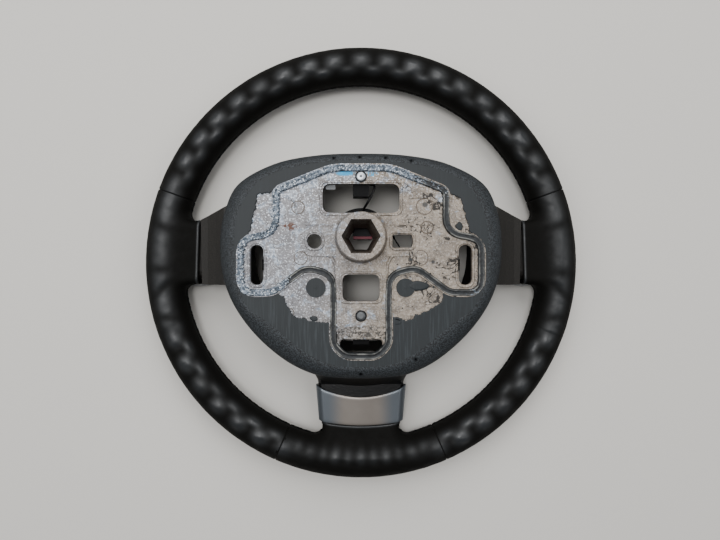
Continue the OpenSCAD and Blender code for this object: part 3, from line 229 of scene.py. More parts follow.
def groove_point(u, distance, stub):
    """The stub's edge at the groove: u runs from one side's middle (-1) over the face to the other (1). Its
    sign of z is chosen by the caller, and distance moves it outward along the spoke."""
    hw, r = stub["half"], stub["corner"]
    rear = stub["rear"][0]
    mid, half = (rear + stub["front"]) / 2, (rear - stub["front"]) / 2
    straight_side, arc, straight_top = half - r, r * math.pi / 2, 2 * (hw - r)
    total = 2 * straight_side + 2 * arc + straight_top
    w = (1 - np.abs(u)) * total / 2
    t = np.where(w < straight_side, hw, np.where(
        w < straight_side + arc,
        hw - r + r * np.cos(np.clip((w - straight_side) / r, 0, math.pi / 2)),
        hw - r - (w - straight_side - arc)))
    up = np.where(w < straight_side, w, np.where(
        w < straight_side + arc,
        straight_side + r * np.sin(np.clip((w - straight_side) / r, 0, math.pi / 2)), half))
    t = t * np.sign(u)
    s = stub["groove"] + stub["slant"] * t + stub["curve"] * (t / hw) ** 2 + distance
    return s, t, mid, up


def turned_in(distance, depth, reach):
    """How deep an edge is rolled in: a quarter circle from its full depth at the edge to nothing at reach."""
    inside = np.clip(1 - distance / reach, 0, 1)
    return depth * (1 - np.sqrt(1 - inside ** 2))


def ripple(p, size, seed, waves=14):
    """Smooth wandering of about -1 to 1: sine waves in fixed random directions, their lengths near size,
    added up and divided by the root of their number."""
    random = np.random.default_rng(seed)
    way = random.normal(size=(waves, p.shape[1]))
    way *= 2 * math.pi / size * random.uniform(0.7, 1.4, (waves, 1)) / np.linalg.norm(way, axis=1)[:, None]
    return np.sin(p @ way.T + random.uniform(0, 2 * math.pi, waves)).sum(1) / math.sqrt(waves)


def grip_relief(a, f):
    """How deep the leather is pressed in at angle a round the rim and f round its section, and how much wear
    and painted highlight it bears. Two rows of finger bumps, half a pitch apart, stand in a shallow trough:
    each bump is a bell both ways, the inner row's lower and narrower. Dents in the plain thumb rests are
    bells too. Bump tops and a band along the thumb rests, broken by the dents, show wear, and the material
    paints them lighter as well, a painted highlight. On the bottom panel upright folds, half a pitch apart,
    lie farther in."""
    pitch = 360 / SCALLOPS
    fade = np.interp((a + 20) % 360 - 20, FADE[:, 0], FADE[:, 1])
    uneven = 1 + 0.2 * np.sin(np.radians(a * 11)) + 0.12 * np.sin(np.radians(a * 29 + 50))
    outer = ((a - 90 + pitch / 2) % pitch - pitch / 2) * math.pi / 180 * RIM_R
    inner = ((a - 90) % pitch - pitch / 2) * math.pi / 180 * RIM_R
    across = (f - 90) * math.pi / 180 * HALF_W
    bump = np.exp(-np.abs(outer / 6.6) ** 2.3 - np.abs((across + 0.2) / 6.4) ** 2.3)
    bump = bump + 0.85 * np.exp(-(inner / 6.0) ** 2 - ((across - 8.6) / 3.5) ** 2)
    low = np.exp(-((a % 360 - 270) / 21) ** 8)
    folds = np.exp(-(outer / 4.4) ** 2) + 0.75 * np.exp(-(inner / 4.0) ** 2)
    bump = bump * (1 - low) + np.exp(-((across - 5.5) / 5.5) ** 2) * folds * low
    depth = SCALLOP_DEPTH * fade * uneven * np.exp(-((f - 96) / 42) ** 2) * (1.05 - bump)
    # Wear on the bump tops and thumb rests; the same mark paints them lighter, a painted highlight.
    wear_and_highlight = fade * uneven * bump + 0.85 * (1 - fade) * (1 - low) * np.exp(-((f - 92) / 24) ** 2)
    for at, width, deep, lean in DENTS:
        off = (a - at - lean * (f - 90) / 40 + 180) % 360 - 180
        dent = np.exp(-(off / width) ** 2) * np.exp(-((f - 95) / 38) ** 2)
        depth = depth + deep * dent
        wear_and_highlight = wear_and_highlight * (1 - 0.8 * dent)
    seam_fold = np.exp(-((np.abs(f) - 177) / 3.0) ** 2)
    return depth + 0.5 * seam_fold, np.clip(wear_and_highlight, 0, 1)


def leather_sheet(a0, a1, stub):
    """A leather panel as one grid: rows run round the grip's section, columns along the rim. In the rows that
    meet the stub, both ends of a row leave the grip and run along the stub to its edge; in the others they
    close on each other. The grid is then evened out and drawn onto the joined grip and stub."""
    gap = SEAM_GAP / 2 / RIM_R * 180 / math.pi
    a0, a1 = a0 + gap, a1 - gap
    lip = np.array([0, 0.2, 0.45, 0.75, 1.1, 1.5, 2.1, 3.0])
    held, rounds = len(lip) - 1, 70
    tuck = lip / RIM_R * 180 / math.pi
    step = GRID / RIM_R * 180 / math.pi
    n_half, n_stub = 46, 17
    if stub is None:
        n = int((a1 - a0 - 2 * tuck[-1]) / step)
        rows = np.concatenate([
            a0 + tuck[:-1], np.linspace(a0 + tuck[-1], a1 - tuck[-1], n), a1 - tuck[-2::-1]])
        u = np.full(len(rows), 9.0)
        n_stub = 0
    else:
        centre = stub["centre"]
        reach = math.degrees((stub["half"] + 1.5) / (RIM_R - HALF_W + 3))
        inside = int(2 * stub["half"] / 1.3)
        n1 = int((centre - reach - a0 - tuck[-1]) / step)
        n2 = int((a1 - tuck[-1] - centre - reach) / step)
        mid_rows = np.linspace(centre - reach, centre + reach, inside)
        rows = np.concatenate([
            a0 + tuck[:-1], np.linspace(a0 + tuck[-1], centre - reach, n1, endpoint=False), mid_rows,
            np.linspace(centre + reach, a1 - tuck[-1], n2 + 1)[1:], a1 - tuck[-2::-1]])
        u = (rows - centre) / reach
    m = n_half + n_stub
    j = np.arange(-m, m + 1)
    near, far = 180.0 / n_half, 180.0 / m
    aa, jj = np.meshgrid(rows, j, indexing="ij")
    uu = np.repeat(u[:, None], len(j), 1)
    ease = np.clip((np.abs(uu) - 1) / 1.2, 0, 1)
    ease = ease * ease * (3 - 2 * ease)
    pitch = near + (far - near) * ease if stub is not None else np.full_like(uu, near)
    f = np.clip(pitch * jj, -180, 180)
    on_stub = np.abs(uu) <= 1 + 1e-9
    leave = 180 - 70 * (1 - np.clip(np.abs(uu), 0, 1) ** 4)
    f = np.where(on_stub, np.clip(jj / n_half, -1, 1) * leave, f)
    p = grip_point(aa, f)
    fixed = np.zeros(aa.shape, bool)
    fixed[:held] = fixed[-held:] = True
    if stub is not None:
        ax, ay = stub["axis"]
        part = on_stub & (np.abs(jj) > n_half)
        k = m - np.abs(jj[part])
        uc = np.clip(uu[part], -1, 1)
        s, t, mid, up = groove_point(uc, lip[np.minimum(k, held)], stub)
        t = t + stub["middle"]
        z = mid + np.where(jj[part] > 0, up, -up)
        g = np.stack([s * ax - t * ay, s * ay + t * ax, z], -1)
        leave_f = np.where(jj[part] > 0, leave[part], -leave[part])
        start = grip_point(aa[part], leave_f)
        share = np.clip((k - held) / (n_stub - held), 0, 1)[:, None]
        p[part] = g + (start - g) * share
        fixed[part] |= k <= held
    quads = sheet_quads(*aa.shape)
    if stub is not None:
        edge = on_stub[:-1, 0] != on_stub[1:, 0]
        drop = edge[:, None] & (np.abs(j[:-1] + 0.5) > n_half)[None, :]
        quads = quads[~drop.reshape(-1)]
    points, whole, tri, back = weld(p.reshape(-1, 3), quads)
    still = np.zeros(len(points), bool)
    np.logical_or.at(still, back, fixed.reshape(-1))
    edges = edges_of(whole, tri)
    for i in range(rounds):
        moved = points + 0.6 * (mean_of_neighbours(points, edges) - points)
        for _ in range(2 if i < rounds - 1 else 5):
            g = slope(moved, stub)
            moved = moved - (joined_gap(moved, stub) / np.maximum((g * g).sum(1), 1e-3))[:, None] * g
        points = np.where(still[:, None], points, moved)
    normal = slope(points, stub)
    normal /= np.linalg.norm(normal, axis=1)[:, None]
    a = np.degrees(np.arctan2(points[:, 1] - RIM_Y, points[:, 0]))
    a = a + 360 * (a < a0 - 5)
    r = np.hypot(points[:, 0], points[:, 1] - RIM_Y) - RIM_R
    f = np.degrees(np.arctan2((points[:, 2] - RIM_Z) / HALF_H, r / HALF_W))
    seam = np.minimum(np.abs(a - a0), np.abs(a1 - a)) * math.pi / 180 * (RIM_R + r)
    relief, polish = grip_relief(a, f)
    depth = turned_in(seam, 0.6, 0.9) + relief
    depth = depth + 0.15 * ripple(points, 9.0, 5) * np.exp(-((f - 90) / 60) ** 2)
    if stub is not None:
        s, t = stub_frame(points, stub)
        edge = stub["groove"] + stub["slant"] * t + stub["curve"] * (t / stub["half"]) ** 2
        d = np.where(np.abs(t) < stub["half"] + 3, s - edge, 99)
        depth = depth + turned_in(d, 1.1, 1.3) - 0.45 * np.exp(-((d - 1.7) / 0.7) ** 2)
        # The rolled lip at the groove gets the same mark: more gloss and a lighter colour, a painted
        # highlight.
        polish = np.maximum(polish, np.exp(-((d - 1.4) / 0.8) ** 2))
    points = points - depth[:, None] * normal
    return points, whole.tolist() + tri.tolist(), polish


# Hub outlines and the surfaces carried along them

def mirrored(half):
    """A whole closed outline from its right half, which is listed from the top: the left half comes back up,
    without the points on the middle line."""
    half = np.asarray(half, float)
    back = half[::-1] * np.where(np.arange(half.shape[1]) == 0, -1, 1)
    return np.concatenate([half, back[np.abs(back[:, 0]) > 1e-9]])


def spline_loop(points, steps):
    """A closed Catmull-Rom curve through the points: a cubic between each two, from their neighbours."""
    a, b, c, d = (np.roll(points, k, axis=0)[:, None] for k in (1, 0, -1, -2))
    t = (np.arange(steps) / steps)[None, :, None]
    curve = (2 * b + (c - a) * t + (2 * a - 5 * b + 4 * c - d) * t ** 2
             + (3 * b - a - 3 * c + d) * t ** 3) / 2
    return curve.reshape(-1, points.shape[1])


def rounded_loop(corners, steps=9):
    """A closed outline with each corner (x, y, radius) rounded by a parabola between the points where a
    circle of that radius would touch, which stay within 0.48 of each side."""
    p, r = corners[:, :2], corners[:, 2]
    to_last, to_next = np.roll(p, 1, 0) - p, np.roll(p, -1, 0) - p
    l_last, l_next = np.linalg.norm(to_last, axis=1), np.linalg.norm(to_next, axis=1)
    u, v = to_last / l_last[:, None], to_next / l_next[:, None]
    half = np.arccos(np.clip((u * v).sum(1), -1, 1)) / 2
    trim = np.minimum(r / np.maximum(np.tan(half), 1e-3), 0.48 * np.minimum(l_last, l_next))[:, None]
    t = np.linspace(0, 1, steps)[None, :, None]
    first, last = (p + u * trim)[:, None], (p + v * trim)[:, None]
    return (first * (1 - t) ** 2 + 2 * p[:, None] * t * (1 - t) + last * t ** 2).reshape(-1, 2)


def even_loop(path, spacing):
    """A closed path again, with its points evenly spaced along its length."""
    closed = np.concatenate([path, path[:1]])
    along = np.concatenate([[0], np.cumsum(np.linalg.norm(np.diff(closed, axis=0), axis=1))])
    at = np.linspace(0, along[-1], max(int(along[-1] / spacing), 12), endpoint=False)
    return np.stack([np.interp(at, along, closed[:, k]) for k in (0, 1)], 1)


def outward(path):
    """The unit normals of a closed path, square to the chord of each point's neighbours, pointing
    outwards."""
    along = np.roll(path, -1, 0) - np.roll(path, 1, 0)
    normal = np.stack([along[:, 1], -along[:, 0]], 1)
    turning = (path[:, 0] * np.roll(path[:, 1], -1) - np.roll(path[:, 0], -1) * path[:, 1]).sum()
    return normal * np.sign(turning) / np.linalg.norm(normal, axis=1)[:, None]


def carried(path, out, z):
    """A profile carried along a closed path: out is each point's distance outwards and z its height, as rows
    of one profile or of one for each point of the path."""
    out, z = np.broadcast_arrays(np.atleast_2d(out), np.atleast_2d(z))
    out = np.broadcast_to(out, (len(path), out.shape[1]))
    z = np.broadcast_to(z, out.shape)
    flat = path[:, None, :] + outward(path)[:, None, :] * out[:, :, None]
    return np.concatenate([flat, z[:, :, None]], 2)


def loop_quads(rows, columns, keep=None):
    """Quads of a grid whose rows close on each other. Keep says which quads stay."""
    index = np.arange(rows * columns).reshape(rows, columns)
    after = np.roll(index, -1, 0)
    quads = np.stack([index[:, :-1], after[:, :-1], after[:, 1:], index[:, 1:]], -1)
    if keep is not None:
        quads = quads[keep]
    return quads.reshape(-1, 4)


def sheet_quads(rows, columns):
    """Quads of an open grid."""
    index = np.arange(rows * columns).reshape(rows, columns)
    return np.stack([index[:-1, :-1], index[1:, :-1], index[1:, 1:], index[:-1, 1:]], -1).reshape(-1, 4)


def facing_up(points, quads):
    """The same quads, turned over as a whole if most of them face down."""
    a, b, c = (points[quads[:, k]] for k in (0, 1, 2))
    up = np.cross(b - a, c - b)[:, 2].sum()
    return quads if up > 0 else quads[:, ::-1]


def within(points, outline):
    """Which points lie inside a closed outline: those whose ray to the right crosses it an odd number of
    times."""
    x, y = points[:, :1], points[:, 1:2]
    x0, y0 = outline[:, 0], outline[:, 1]
    x1, y1 = np.roll(x0, -1), np.roll(y0, -1)
    over = (y0 > y) != (y1 > y)
    at = x0 + (y - y0) * (x1 - x0) / np.where(y1 == y0, 1e-9, y1 - y0)
    return ((over & (x < at)).sum(1) % 2).astype(bool)


def nearest(points, path):
    """Each point's distance to the nearest point of a path."""
    return np.sqrt(((points[:, None] - path[None]) ** 2).sum(2).min(1))


bead_path = even_loop(rounded_loop(mirrored(BEAD_SHARES) * (BEAD_HALF_W, BEAD_LEN, BEAD_CORNER_R)), 0.9)
bead_path = bead_path - 1.2 * outward(bead_path)
smooth_edge = spline_loop(mirrored(SMOOTH_SHARES) * (HUB_W, 1), 24)
band_edge = spline_loop(mirrored(EDGE_SHARES) * (HUB_W, 1), 24)
for outline in (smooth_edge, band_edge):
    outline[:, 1] *= np.where(outline[:, 1] > 0, HUB_TOP, HUB_LOW)
pad_outlines = [even_loop(rounded_loop(np.array(p) * (BEAD_HALF_W, BEAD_LEN, BEAD_CORNER_R)),
                          0.5) for p in PADS]


def grained_band():
    """The hub's edge as one surface: from the smooth zone it falls along a quarter of an oval to the band's
    outer edge, then runs down the wall, which draws in toward the front, and turns under. The vents are
    shallow pits, painted near black as painted shade for the holes."""
    s = np.concatenate([[-0.1, -0.03], np.sin(np.linspace(0, math.pi / 2, 26)) ** 0.9])
    fall = np.where(s > 0, 1 - np.sqrt(1 - np.clip(s, 0, 1) ** 2), 0)
    z = np.where(s < 0, BAND_Z, BAND_Z + 0.03) - BAND_FALL * fall
    across = smooth_edge[:, None] + (band_edge - smooth_edge)[:, None] * s[None, :, None]
    top = np.concatenate([across, np.broadcast_to(z[None, :, None], across.shape[:2] + (1,))], 2)
    down = np.linspace(0, 1, 12)[1:]
    wall = carried(band_edge, 0.15 - 2.0 * down, z[-1] - (TUB_DEPTH + z[-1]) * down)
    lip = carried(band_edge, [[-2.3, -3.0, -4.2]], [[-TUB_DEPTH - 0.25, -TUB_DEPTH - 0.35, -TUB_DEPTH - 0.2]])
    grid = np.concatenate([top, wall, lip], 1)
    points = grid.reshape(-1, 3)
    mark = np.concatenate([np.clip(s, 0, 1), 1 + down, [2, 2, 2]])
    mark = np.broadcast_to(mark, grid.shape[:2]).reshape(-1).copy()
    # Vent mark: a shallow dip that the material paints near black, painted shade for the vent holes.
    pit = np.exp(-(nearest(points[:, :2], VENTS) / 1.5) ** 4) * (points[:, 2] > -30)
    points[:, 2] -= 0.1 * pit
    quads = facing_up(points, loop_quads(*grid.shape[:2]))
    return points, quads.tolist(), mark, pit


def frosting(x, y):
    """How frosted the bead is, from 0 to 1: all along the top and the left lobe, a little on the right one's
    lower end, hardly on the arms below."""
    top = np.clip((y - 18) / 26, 0, 1)
    left = np.clip((-x - 52) / 12, 0, 1) * np.clip((y + 58) / 8, 0, 1)
    right = 0.55 * np.exp(-(((x - 92) / 9) ** 2 + ((y + 47) / 7) ** 2))
    return np.maximum(np.maximum(0.95 * top * np.clip((62 - x) / 30, 0.35, 1), left), right)


def casting_bead():
    """The bead that frames the casting: two rounded crests with a channel between them, carried along the
    bead's path, its flanks roughened by two sizes of ripple where the metal is frosted."""
    out = np.array([-3.1, -2.8, -2.45, -2.1, -1.7, -1.2, -0.6, 0, 0.6, 1.2, 1.7, 2.1, 2.5, 2.85, 3.1])
    z = np.array([-17.3, -16.3, -15.35, -14.95, -14.85, -15.1, -15.3, -15.34, -15.3, -15.1, -14.85, -14.95,
                  -15.4, -16.3, -17.3])
    grid = carried(bead_path, out, z)
    points = grid.reshape(-1, 3)
    frost = frosting(points[:, 0], points[:, 1])
    rough = 0.16 * ripple(points[:, :2], 1.7, 3) + 0.14 * ripple(points[:, :2], 4.5, 4)
    off = np.broadcast_to(out, grid.shape[:2]).reshape(-1)
    top = np.exp(-(off / 2.7) ** 6)
    points[:, 2] += top * rough * (0.35 + 0.8 * frost)
    points[:, 2] = np.where(top > 0.3, np.maximum(points[:, 2], -15.38), points[:, 2])
    sway = 0.6 * ripple(points[:, :2], 3.0, 6)
    points[:, 0] += sway * (0.3 + frost)
    # Where the two ridges run: the mask of the bead's painted highlight lines.
    crest = np.exp(-((np.abs(off) - 1.9) / 0.45) ** 2)
    quads = facing_up(points, loop_quads(*grid.shape[:2]))
    return points, quads.tolist(), frost, crest


def foam_flash():
    """Foam that has crept over the casting: a thin sheet along the bead's outer flank and round each bare
    pad, whose inner edge wanders by two sizes of ripple before it drops to the metal."""
    parts = []
    for path, base, outer_edge, seed in [(bead_path, 2.5, 4.9, 11)] + [
            (p, -0.2, 1.6, 20 + k) for k, p in enumerate(pad_outlines)]:
        ragged = base + 0.55 * ripple(path, 7.0, seed) - 0.75 * np.abs(ripple(path, 2.2, seed + 40))
        share = np.array([0, 0, 0.12, 0.35, 0.7, 1.0])
        out = ragged[:, None] + (outer_edge - ragged[:, None]) * share
        z = np.array([FLASH_Z - 1.35, FLASH_Z - 0.3, FLASH_Z - 0.04, FLASH_Z, FLASH_Z, FLASH_Z - 0.02])
        grid = carried(path, out, z)
        middle = grid[:, 3, :2]
        if path is bead_path:
            keep = ~np.any([within(middle, p) for p in pad_outlines], axis=0)
        else:
            keep = (nearest(middle, bead_path) > 4.0) & ~within(middle, bead_path)
        quads = loop_quads(*grid.shape[:2], keep=keep)
        points = grid.reshape(-1, 3)
        parts.append((points, facing_up(points, quads)))
    for x, y, size, squeeze, seed in FOAM_SPOTS:
        turn = np.linspace(0, 2 * math.pi, 60, endpoint=False)
        ring = np.stack([np.cos(turn), np.sin(turn) * squeeze], 1)
        reach = size * (1 + 0.1 * ripple(ring * size, size * 1.6, seed))
        share = np.array([1.0, 0.97, 0.9, 0.6, 0.3, 0.0])
        flat = ring[:, None] * reach[:, None, None] * share[None, :, None] + (x, y)
        z = np.broadcast_to(np.array([-17.1, -16.2, FLASH_Z - 0.05, FLASH_Z, FLASH_Z, FLASH_Z]), (60, 6))
        points = np.concatenate([flat, z[:, :, None]], 2).reshape(-1, 3)
        parts.append((points, facing_up(points, loop_quads(60, 6))))
    return joined(parts)


def joined(parts):
    """Several meshes of points and quads as one, with shared places made one point."""
    start = np.cumsum([0] + [len(p) for p, _ in parts])
    quads = np.concatenate([q + s for (_, q), s in zip(parts, start)])
    points, whole, tri, _ = weld(np.concatenate([p for p, _ in parts]), quads)
    return points, whole.tolist() + tri.tolist()


def casting_marks():
    """The marks that ejector pins leave: thin raised rings. The stamp is such a ring with a generic arrow of
    two bars."""
    parts = []
    for x, y, r, width, z in EJECTOR_RINGS:
        turn = np.linspace(0, 2 * math.pi, 48, endpoint=False)
        path = np.stack([x + r * np.cos(turn), y + r * np.sin(turn)], 1)
        grid = carried(path, np.array([-1, -0.5, 0, 0.5, 1]) * width, z + np.array([-0.1, 0.16, 0.3, 0.16,
                                                                                    -0.1]))
        points = grid.reshape(-1, 3)
        parts.append((points, facing_up(points, loop_quads(*grid.shape[:2]))))
    for x, y, length, angle in STAMP_BARS:
        turn = np.linspace(0, 2 * math.pi, 24, endpoint=False)
        bar = np.stack([np.cos(turn) * 0.35 + np.sign(np.cos(turn)) * length / 2, np.sin(turn) * 0.35], 1)
        c, s = math.cos(math.radians(angle)), math.sin(math.radians(angle))
        path = bar @ np.array([[c, s], [-s, c]]) + (x, y)
        share = np.array([1.3, 1.0, 0.6, 0.0])
        flat = (x, y) + (path - (x, y))[:, None] * share[None, :, None]
        z = np.broadcast_to(np.array([-17.1, -16.85, -16.8, -16.8]), (24, 4))
        points = np.concatenate([flat, z[:, :, None]], 2).reshape(-1, 3)
        parts.append((points, facing_up(points, loop_quads(24, 4))))
    return joined(parts)


def open_ridge(route, width, height, z):
    """A rounded rib along an open route: a half-wave profile, sinking to nothing at both ends."""
    route = np.asarray(route, float)
    along = np.concatenate([[0], np.cumsum(np.linalg.norm(np.diff(route, axis=0), axis=1))])
    at = np.linspace(0, along[-1], max(int(along[-1] / 0.8), 8))
    path = np.stack([np.interp(at, along, route[:, k]) for k in (0, 1)], 1)
    for _ in range(3):
        path[1:-1] = (path[:-2] + 2 * path[1:-1] + path[2:]) / 4
    ahead = np.gradient(path, axis=0)
    side = np.stack([ahead[:, 1], -ahead[:, 0]], 1) / np.linalg.norm(ahead, axis=1)[:, None]
    u = np.linspace(-1, 1, 9)
    fade = np.sqrt(np.clip(1 - (2 * at / at[-1] - 1) ** 6, 0, 1))
    flat = path[:, None] + side[:, None] * (u * width / 2)[None, :, None]
    up = z - 0.15 + (1.5 * height + 0.15) * np.cos(u * math.pi / 2)[None] * fade[:, None]
    points = np.concatenate([flat, up[:, :, None]], 2)
    quads = sheet_quads(*points.shape[:2])
    points = points.reshape(-1, 3)
    return points, facing_up(points, quads)


def casting_ribs():
    """Low ribs beside the boss and lips round the openings: rounded profiles carried along routes and along
    rounded rectangles."""
    parts = [open_ridge(route, width, height, z) for route, width, height, z in RIBS]
    for x0, x1, y0, y1, r, z in LIPS:
        corners = np.array([(x0, y0, r), (x1, y0, r), (x1, y1, r), (x0, y1, r)])
        path = even_loop(rounded_loop(corners), 0.8)
        grid = carried(path, np.linspace(0.05, 2.3, 9), z - 0.1 + 0.75 * np.sin(np.linspace(0, math.pi,
                                                                                            9)) ** 0.7)
        points = grid.reshape(-1, 3)
        parts.append((points, facing_up(points, loop_quads(*grid.shape[:2]))))
    return joined(parts)


def rivet_face(y, z):
    """A rivet's head, turned about its axis: a washer ring, a groove, a domed head and a small centre
    mark."""
    out = np.array([4.7, 4.65, 4.3, 3.75, 3.65, 3.6, 3.5, 3.1, 2.4, 1.5, 0.75, 0.6, 0.45, 0.0])
    up = np.array([-1.5, -0.25, -0.1, -0.12, -0.9, -0.5, 0.05, 0.3, 0.42, 0.5, 0.52, 0.2, 0.05, 0.02])
    turn = np.linspace(0, 2 * math.pi, 48, endpoint=False)
    flat = np.stack([np.cos(turn), np.sin(turn)], 1)[:, None] * out[None, :, None] + (0, y)
    points = np.concatenate([flat, np.broadcast_to(z + up, (48, len(out)))[:, :, None]], 2).reshape(-1, 3)
    # Marked dark: the washer ring and groove, painted shade round the head, and the centre mark.
    mark = np.broadcast_to((out > 3.55).astype(float) + (out < 0.65), (48, len(out))).reshape(-1)
    quads = facing_up(points, loop_quads(48, len(out)))
    points, whole, tri, back = weld(points, quads)
    grime = np.zeros(len(points))
    grime[back] = mark
    return points, whole.tolist() + tri.tolist(), grime


def contact_coil(y):
    """A horn contact's return spring: a round wire carried along a helix whose end turns close up, since its
    height follows a smooth step, with both of the wire's ends drawn to a point."""
    share = np.linspace(0, 1, 32 * SPRING_TURNS + 1)
    turn = 2 * math.pi * SPRING_TURNS * share
    rise = share * share * (3 - 2 * share)
    low, high = SPRING_LOW + SPRING_WIRE, SPRING_HIGH - SPRING_WIRE
    side = np.linspace(0, 2 * math.pi, 12, endpoint=False)
    thick = SPRING_WIRE * np.clip(np.minimum(share, 1 - share) * 300, 0, 1)
    out = SPRING_R + thick[:, None] * np.cos(side)
    up = low + (high - low) * rise[:, None] + thick[:, None] * np.sin(side)
    grid = np.stack([out * np.cos(turn)[:, None], y + out * np.sin(turn)[:, None], up], 2)
    quads = loop_quads(*grid.transpose(1, 0, 2).shape[:2])
    points, whole, tri, _ = weld(grid.transpose(1, 0, 2).reshape(-1, 3), quads)
    return points, whole.tolist() + tri.tolist()


def seam_bed(at):
    """The bed under a seam, in the leather's finish: a ring of the grip's section, set in a little, wide
    enough to close the gap between two panels."""
    f = np.linspace(0, 360, 96, endpoint=False)
    reach = np.array([-1.8, -0.6, 0.6, 1.8]) / RIM_R * 180 / math.pi
    aa, ff = np.meshgrid(at + reach, f, indexing="ij")
    points = grip_point(aa, ff)
    middle = np.stack([RIM_R * np.cos(np.radians(aa)), RIM_Y + RIM_R * np.sin(np.radians(aa)),
                       np.full(aa.shape, RIM_Z)], -1)
    points = middle + (points - middle) * (1 - 0.75 / HALF_W)
    index = np.arange(4 * 96).reshape(4, 96)
    quads = np.stack([index[:-1], index[1:], np.roll(index[1:], -1, 1), np.roll(index[:-1], -1, 1)], -1)
    return points.reshape(-1, 3), quads.reshape(-1, 4).tolist()


def rim_stitches(a0, a1, skip):
    """The stitches that close the leather on the rim's inner side: small beads drawn out along the rim and
    leaning by turns, one each few millimetres, outside the stretch skip (its middle and half width)."""
    at = np.arange(a0 + 1.2, a1 - 1.0, STITCH_PITCH / (RIM_R - HALF_W) * 180 / math.pi)
    if skip is not None:
        at = at[np.abs(at - skip[0]) > skip[1]]
    lean = np.where(np.arange(len(at)) % 2 == 0, 1, -1) * math.radians(24)
    a = np.radians(at)
    ahead = np.stack([-np.sin(a), np.cos(a), np.zeros(len(a))], 1)
    up = np.array([[0.0, 0.0, 1.0]])
    inward = -np.stack([np.cos(a), np.sin(a), np.zeros(len(a))], 1)
    long = ahead * np.cos(lean)[:, None] + up * np.sin(lean)[:, None]
    wide = up * np.cos(lean)[:, None] - ahead * np.sin(lean)[:, None]
    middle = np.stack([(RIM_R - HALF_W) * np.cos(a), RIM_Y + (RIM_R - HALF_W) * np.sin(a),
                       np.full(len(a), RIM_Z - 1.6)], 1) + inward * 0.15
    v = np.linspace(0, math.pi, 7)
    u = np.linspace(0, 2 * math.pi, 8, endpoint=False)
    bead = (middle[:, None, None] - long[:, None, None] * (2.0 * np.cos(v))[None, None, :, None]
            + wide[:, None, None] * (0.55 * np.sin(v)[None, :] * np.cos(u)[:, None])[None, :, :, None]
            + inward[:, None, None] * (0.5 * np.sin(v)[None, :] * np.sin(u)[:, None])[None, :, :, None])
    quads = loop_quads(8, 7)[:, ::-1]
    first = (np.arange(len(a)) * 56)[:, None, None]
    points, whole, tri, _ = weld(bead.reshape(-1, 3), (first + quads[None]).reshape(-1, 4))
    return points, whole.tolist() + tri.tolist()


def saddle_sheet():
    """The silver saddle: its section runs across the spoke, nearly flat with a slight crown, folded once
    into a bevel and again into the sides, and is carried from its concave upper edge to its lower one."""
    s = np.concatenate([np.linspace(0, 0.84, 22), [0.86, 0.875, 0.89, 0.91, 0.94, 0.97, 0.99, 1.0, 1.003,
                                                   1.0, 0.995]])
    drop = np.interp(s, [0, 0.84, 0.875, 0.91, 0.97, 1.0], [0, 0.9, 1.25, 2.2, 4.8, 6.6]) * (s ** 0.3)
    drop[-3:] = [8.0, 10.5, 12.2]
    s = np.concatenate([-s[:0:-1], s])
    drop = np.concatenate([drop[:0:-1], drop])
    t = np.concatenate([[0, 0.012, 0.03], np.linspace(0.06, 0.94, 16), [0.97, 0.988, 1]])
    top = SADDLE_LOW + SADDLE_LEN + SADDLE_DIP * s ** 2
    low = SADDLE_LOW + 0.35 * SADDLE_DIP * s ** 2
    y = low[None] + (top - low)[None] * t[:, None]
    half = SADDLE_HALF + (y - SADDLE_LOW) * 0.085 + 2.0
    rim = 0.45 * np.exp(-(t * (SADDLE_LEN / 0.6)) ** 2) + 0.45 * np.exp(-((1 - t) * (SADDLE_LEN / 0.6)) ** 2)
    points = np.stack([s[None] * half, y, SADDLE_Z - drop[None] - rim[:, None]], 2)
    quads = sheet_quads(*points.shape[:2])
    points = points.reshape(-1, 3)
    return points, facing_up(points, quads).tolist()


def side_trim_sheet(way):
    """A silver side trim: its section runs up the lower edge, across the front and up the upper edge. The
    skirts' heights follow half an oval along the spoke."""
    x = np.linspace(0, 1, 30)
    lens = np.sqrt(np.clip(1 - ((x - 0.42) / 0.44) ** 2, 0, 1))
    low_skirt, top_skirt = 0.5 + 9.5 * lens, np.full(len(x), 0.3)
    section = np.linspace(0, 1, 41)
    low_y, top_y = -38.3 - 1.9 * lens[:, None] * np.clip(section / 0.15, 0, 1)[None], 15.6
    u = section[None]
    front = np.clip((u - 0.2) / 0.6, 0, 1)
    y = low_y + (top_y - low_y) * front
    rise = np.clip(1 - u / 0.2, 0, 1) * low_skirt[:, None] + np.clip((u - 0.8) / 0.2, 0,
                                                                     1) * top_skirt[:, None]
    z = -72.9 + 1.0 * (np.abs(2 * front - 1) ** 8) + rise
    points = np.stack([np.broadcast_to(way * (TRIM_X0 + (TRIM_X1 - TRIM_X0) * x[:, None]), y.shape), y, z], 2)
    quads = sheet_quads(*points.shape[:2])
    points = points.reshape(-1, 3)
    return points, facing_up(points, quads)[:, ::-1].tolist()


# Materials

def linear(code, alpha=1.0):
    """An sRGB hex colour as linear values."""
    c = [int(code[i:i + 2], 16) / 255 for i in (1, 3, 5)]
    return [v / 12.92 if v <= 0.04045 else ((v + 0.055) / 1.055) ** 2.4 for v in c] + [alpha]


def add(tree, kind, sockets=None, out=0, **settings):
    """Adds a node with its settings and gives one of its outputs. A socket takes a value, or another node's
    output as a link."""
    made = tree.nodes.new(kind)
    for key, value in settings.items():
        setattr(made, key, value)
    for key, value in (sockets or {}).items():
        if isinstance(value, bpy.types.NodeSocket):
            tree.links.new(value, made.inputs[key])
        else:
            made.inputs[key].default_value = value
    return made.outputs[out] if made.outputs else made


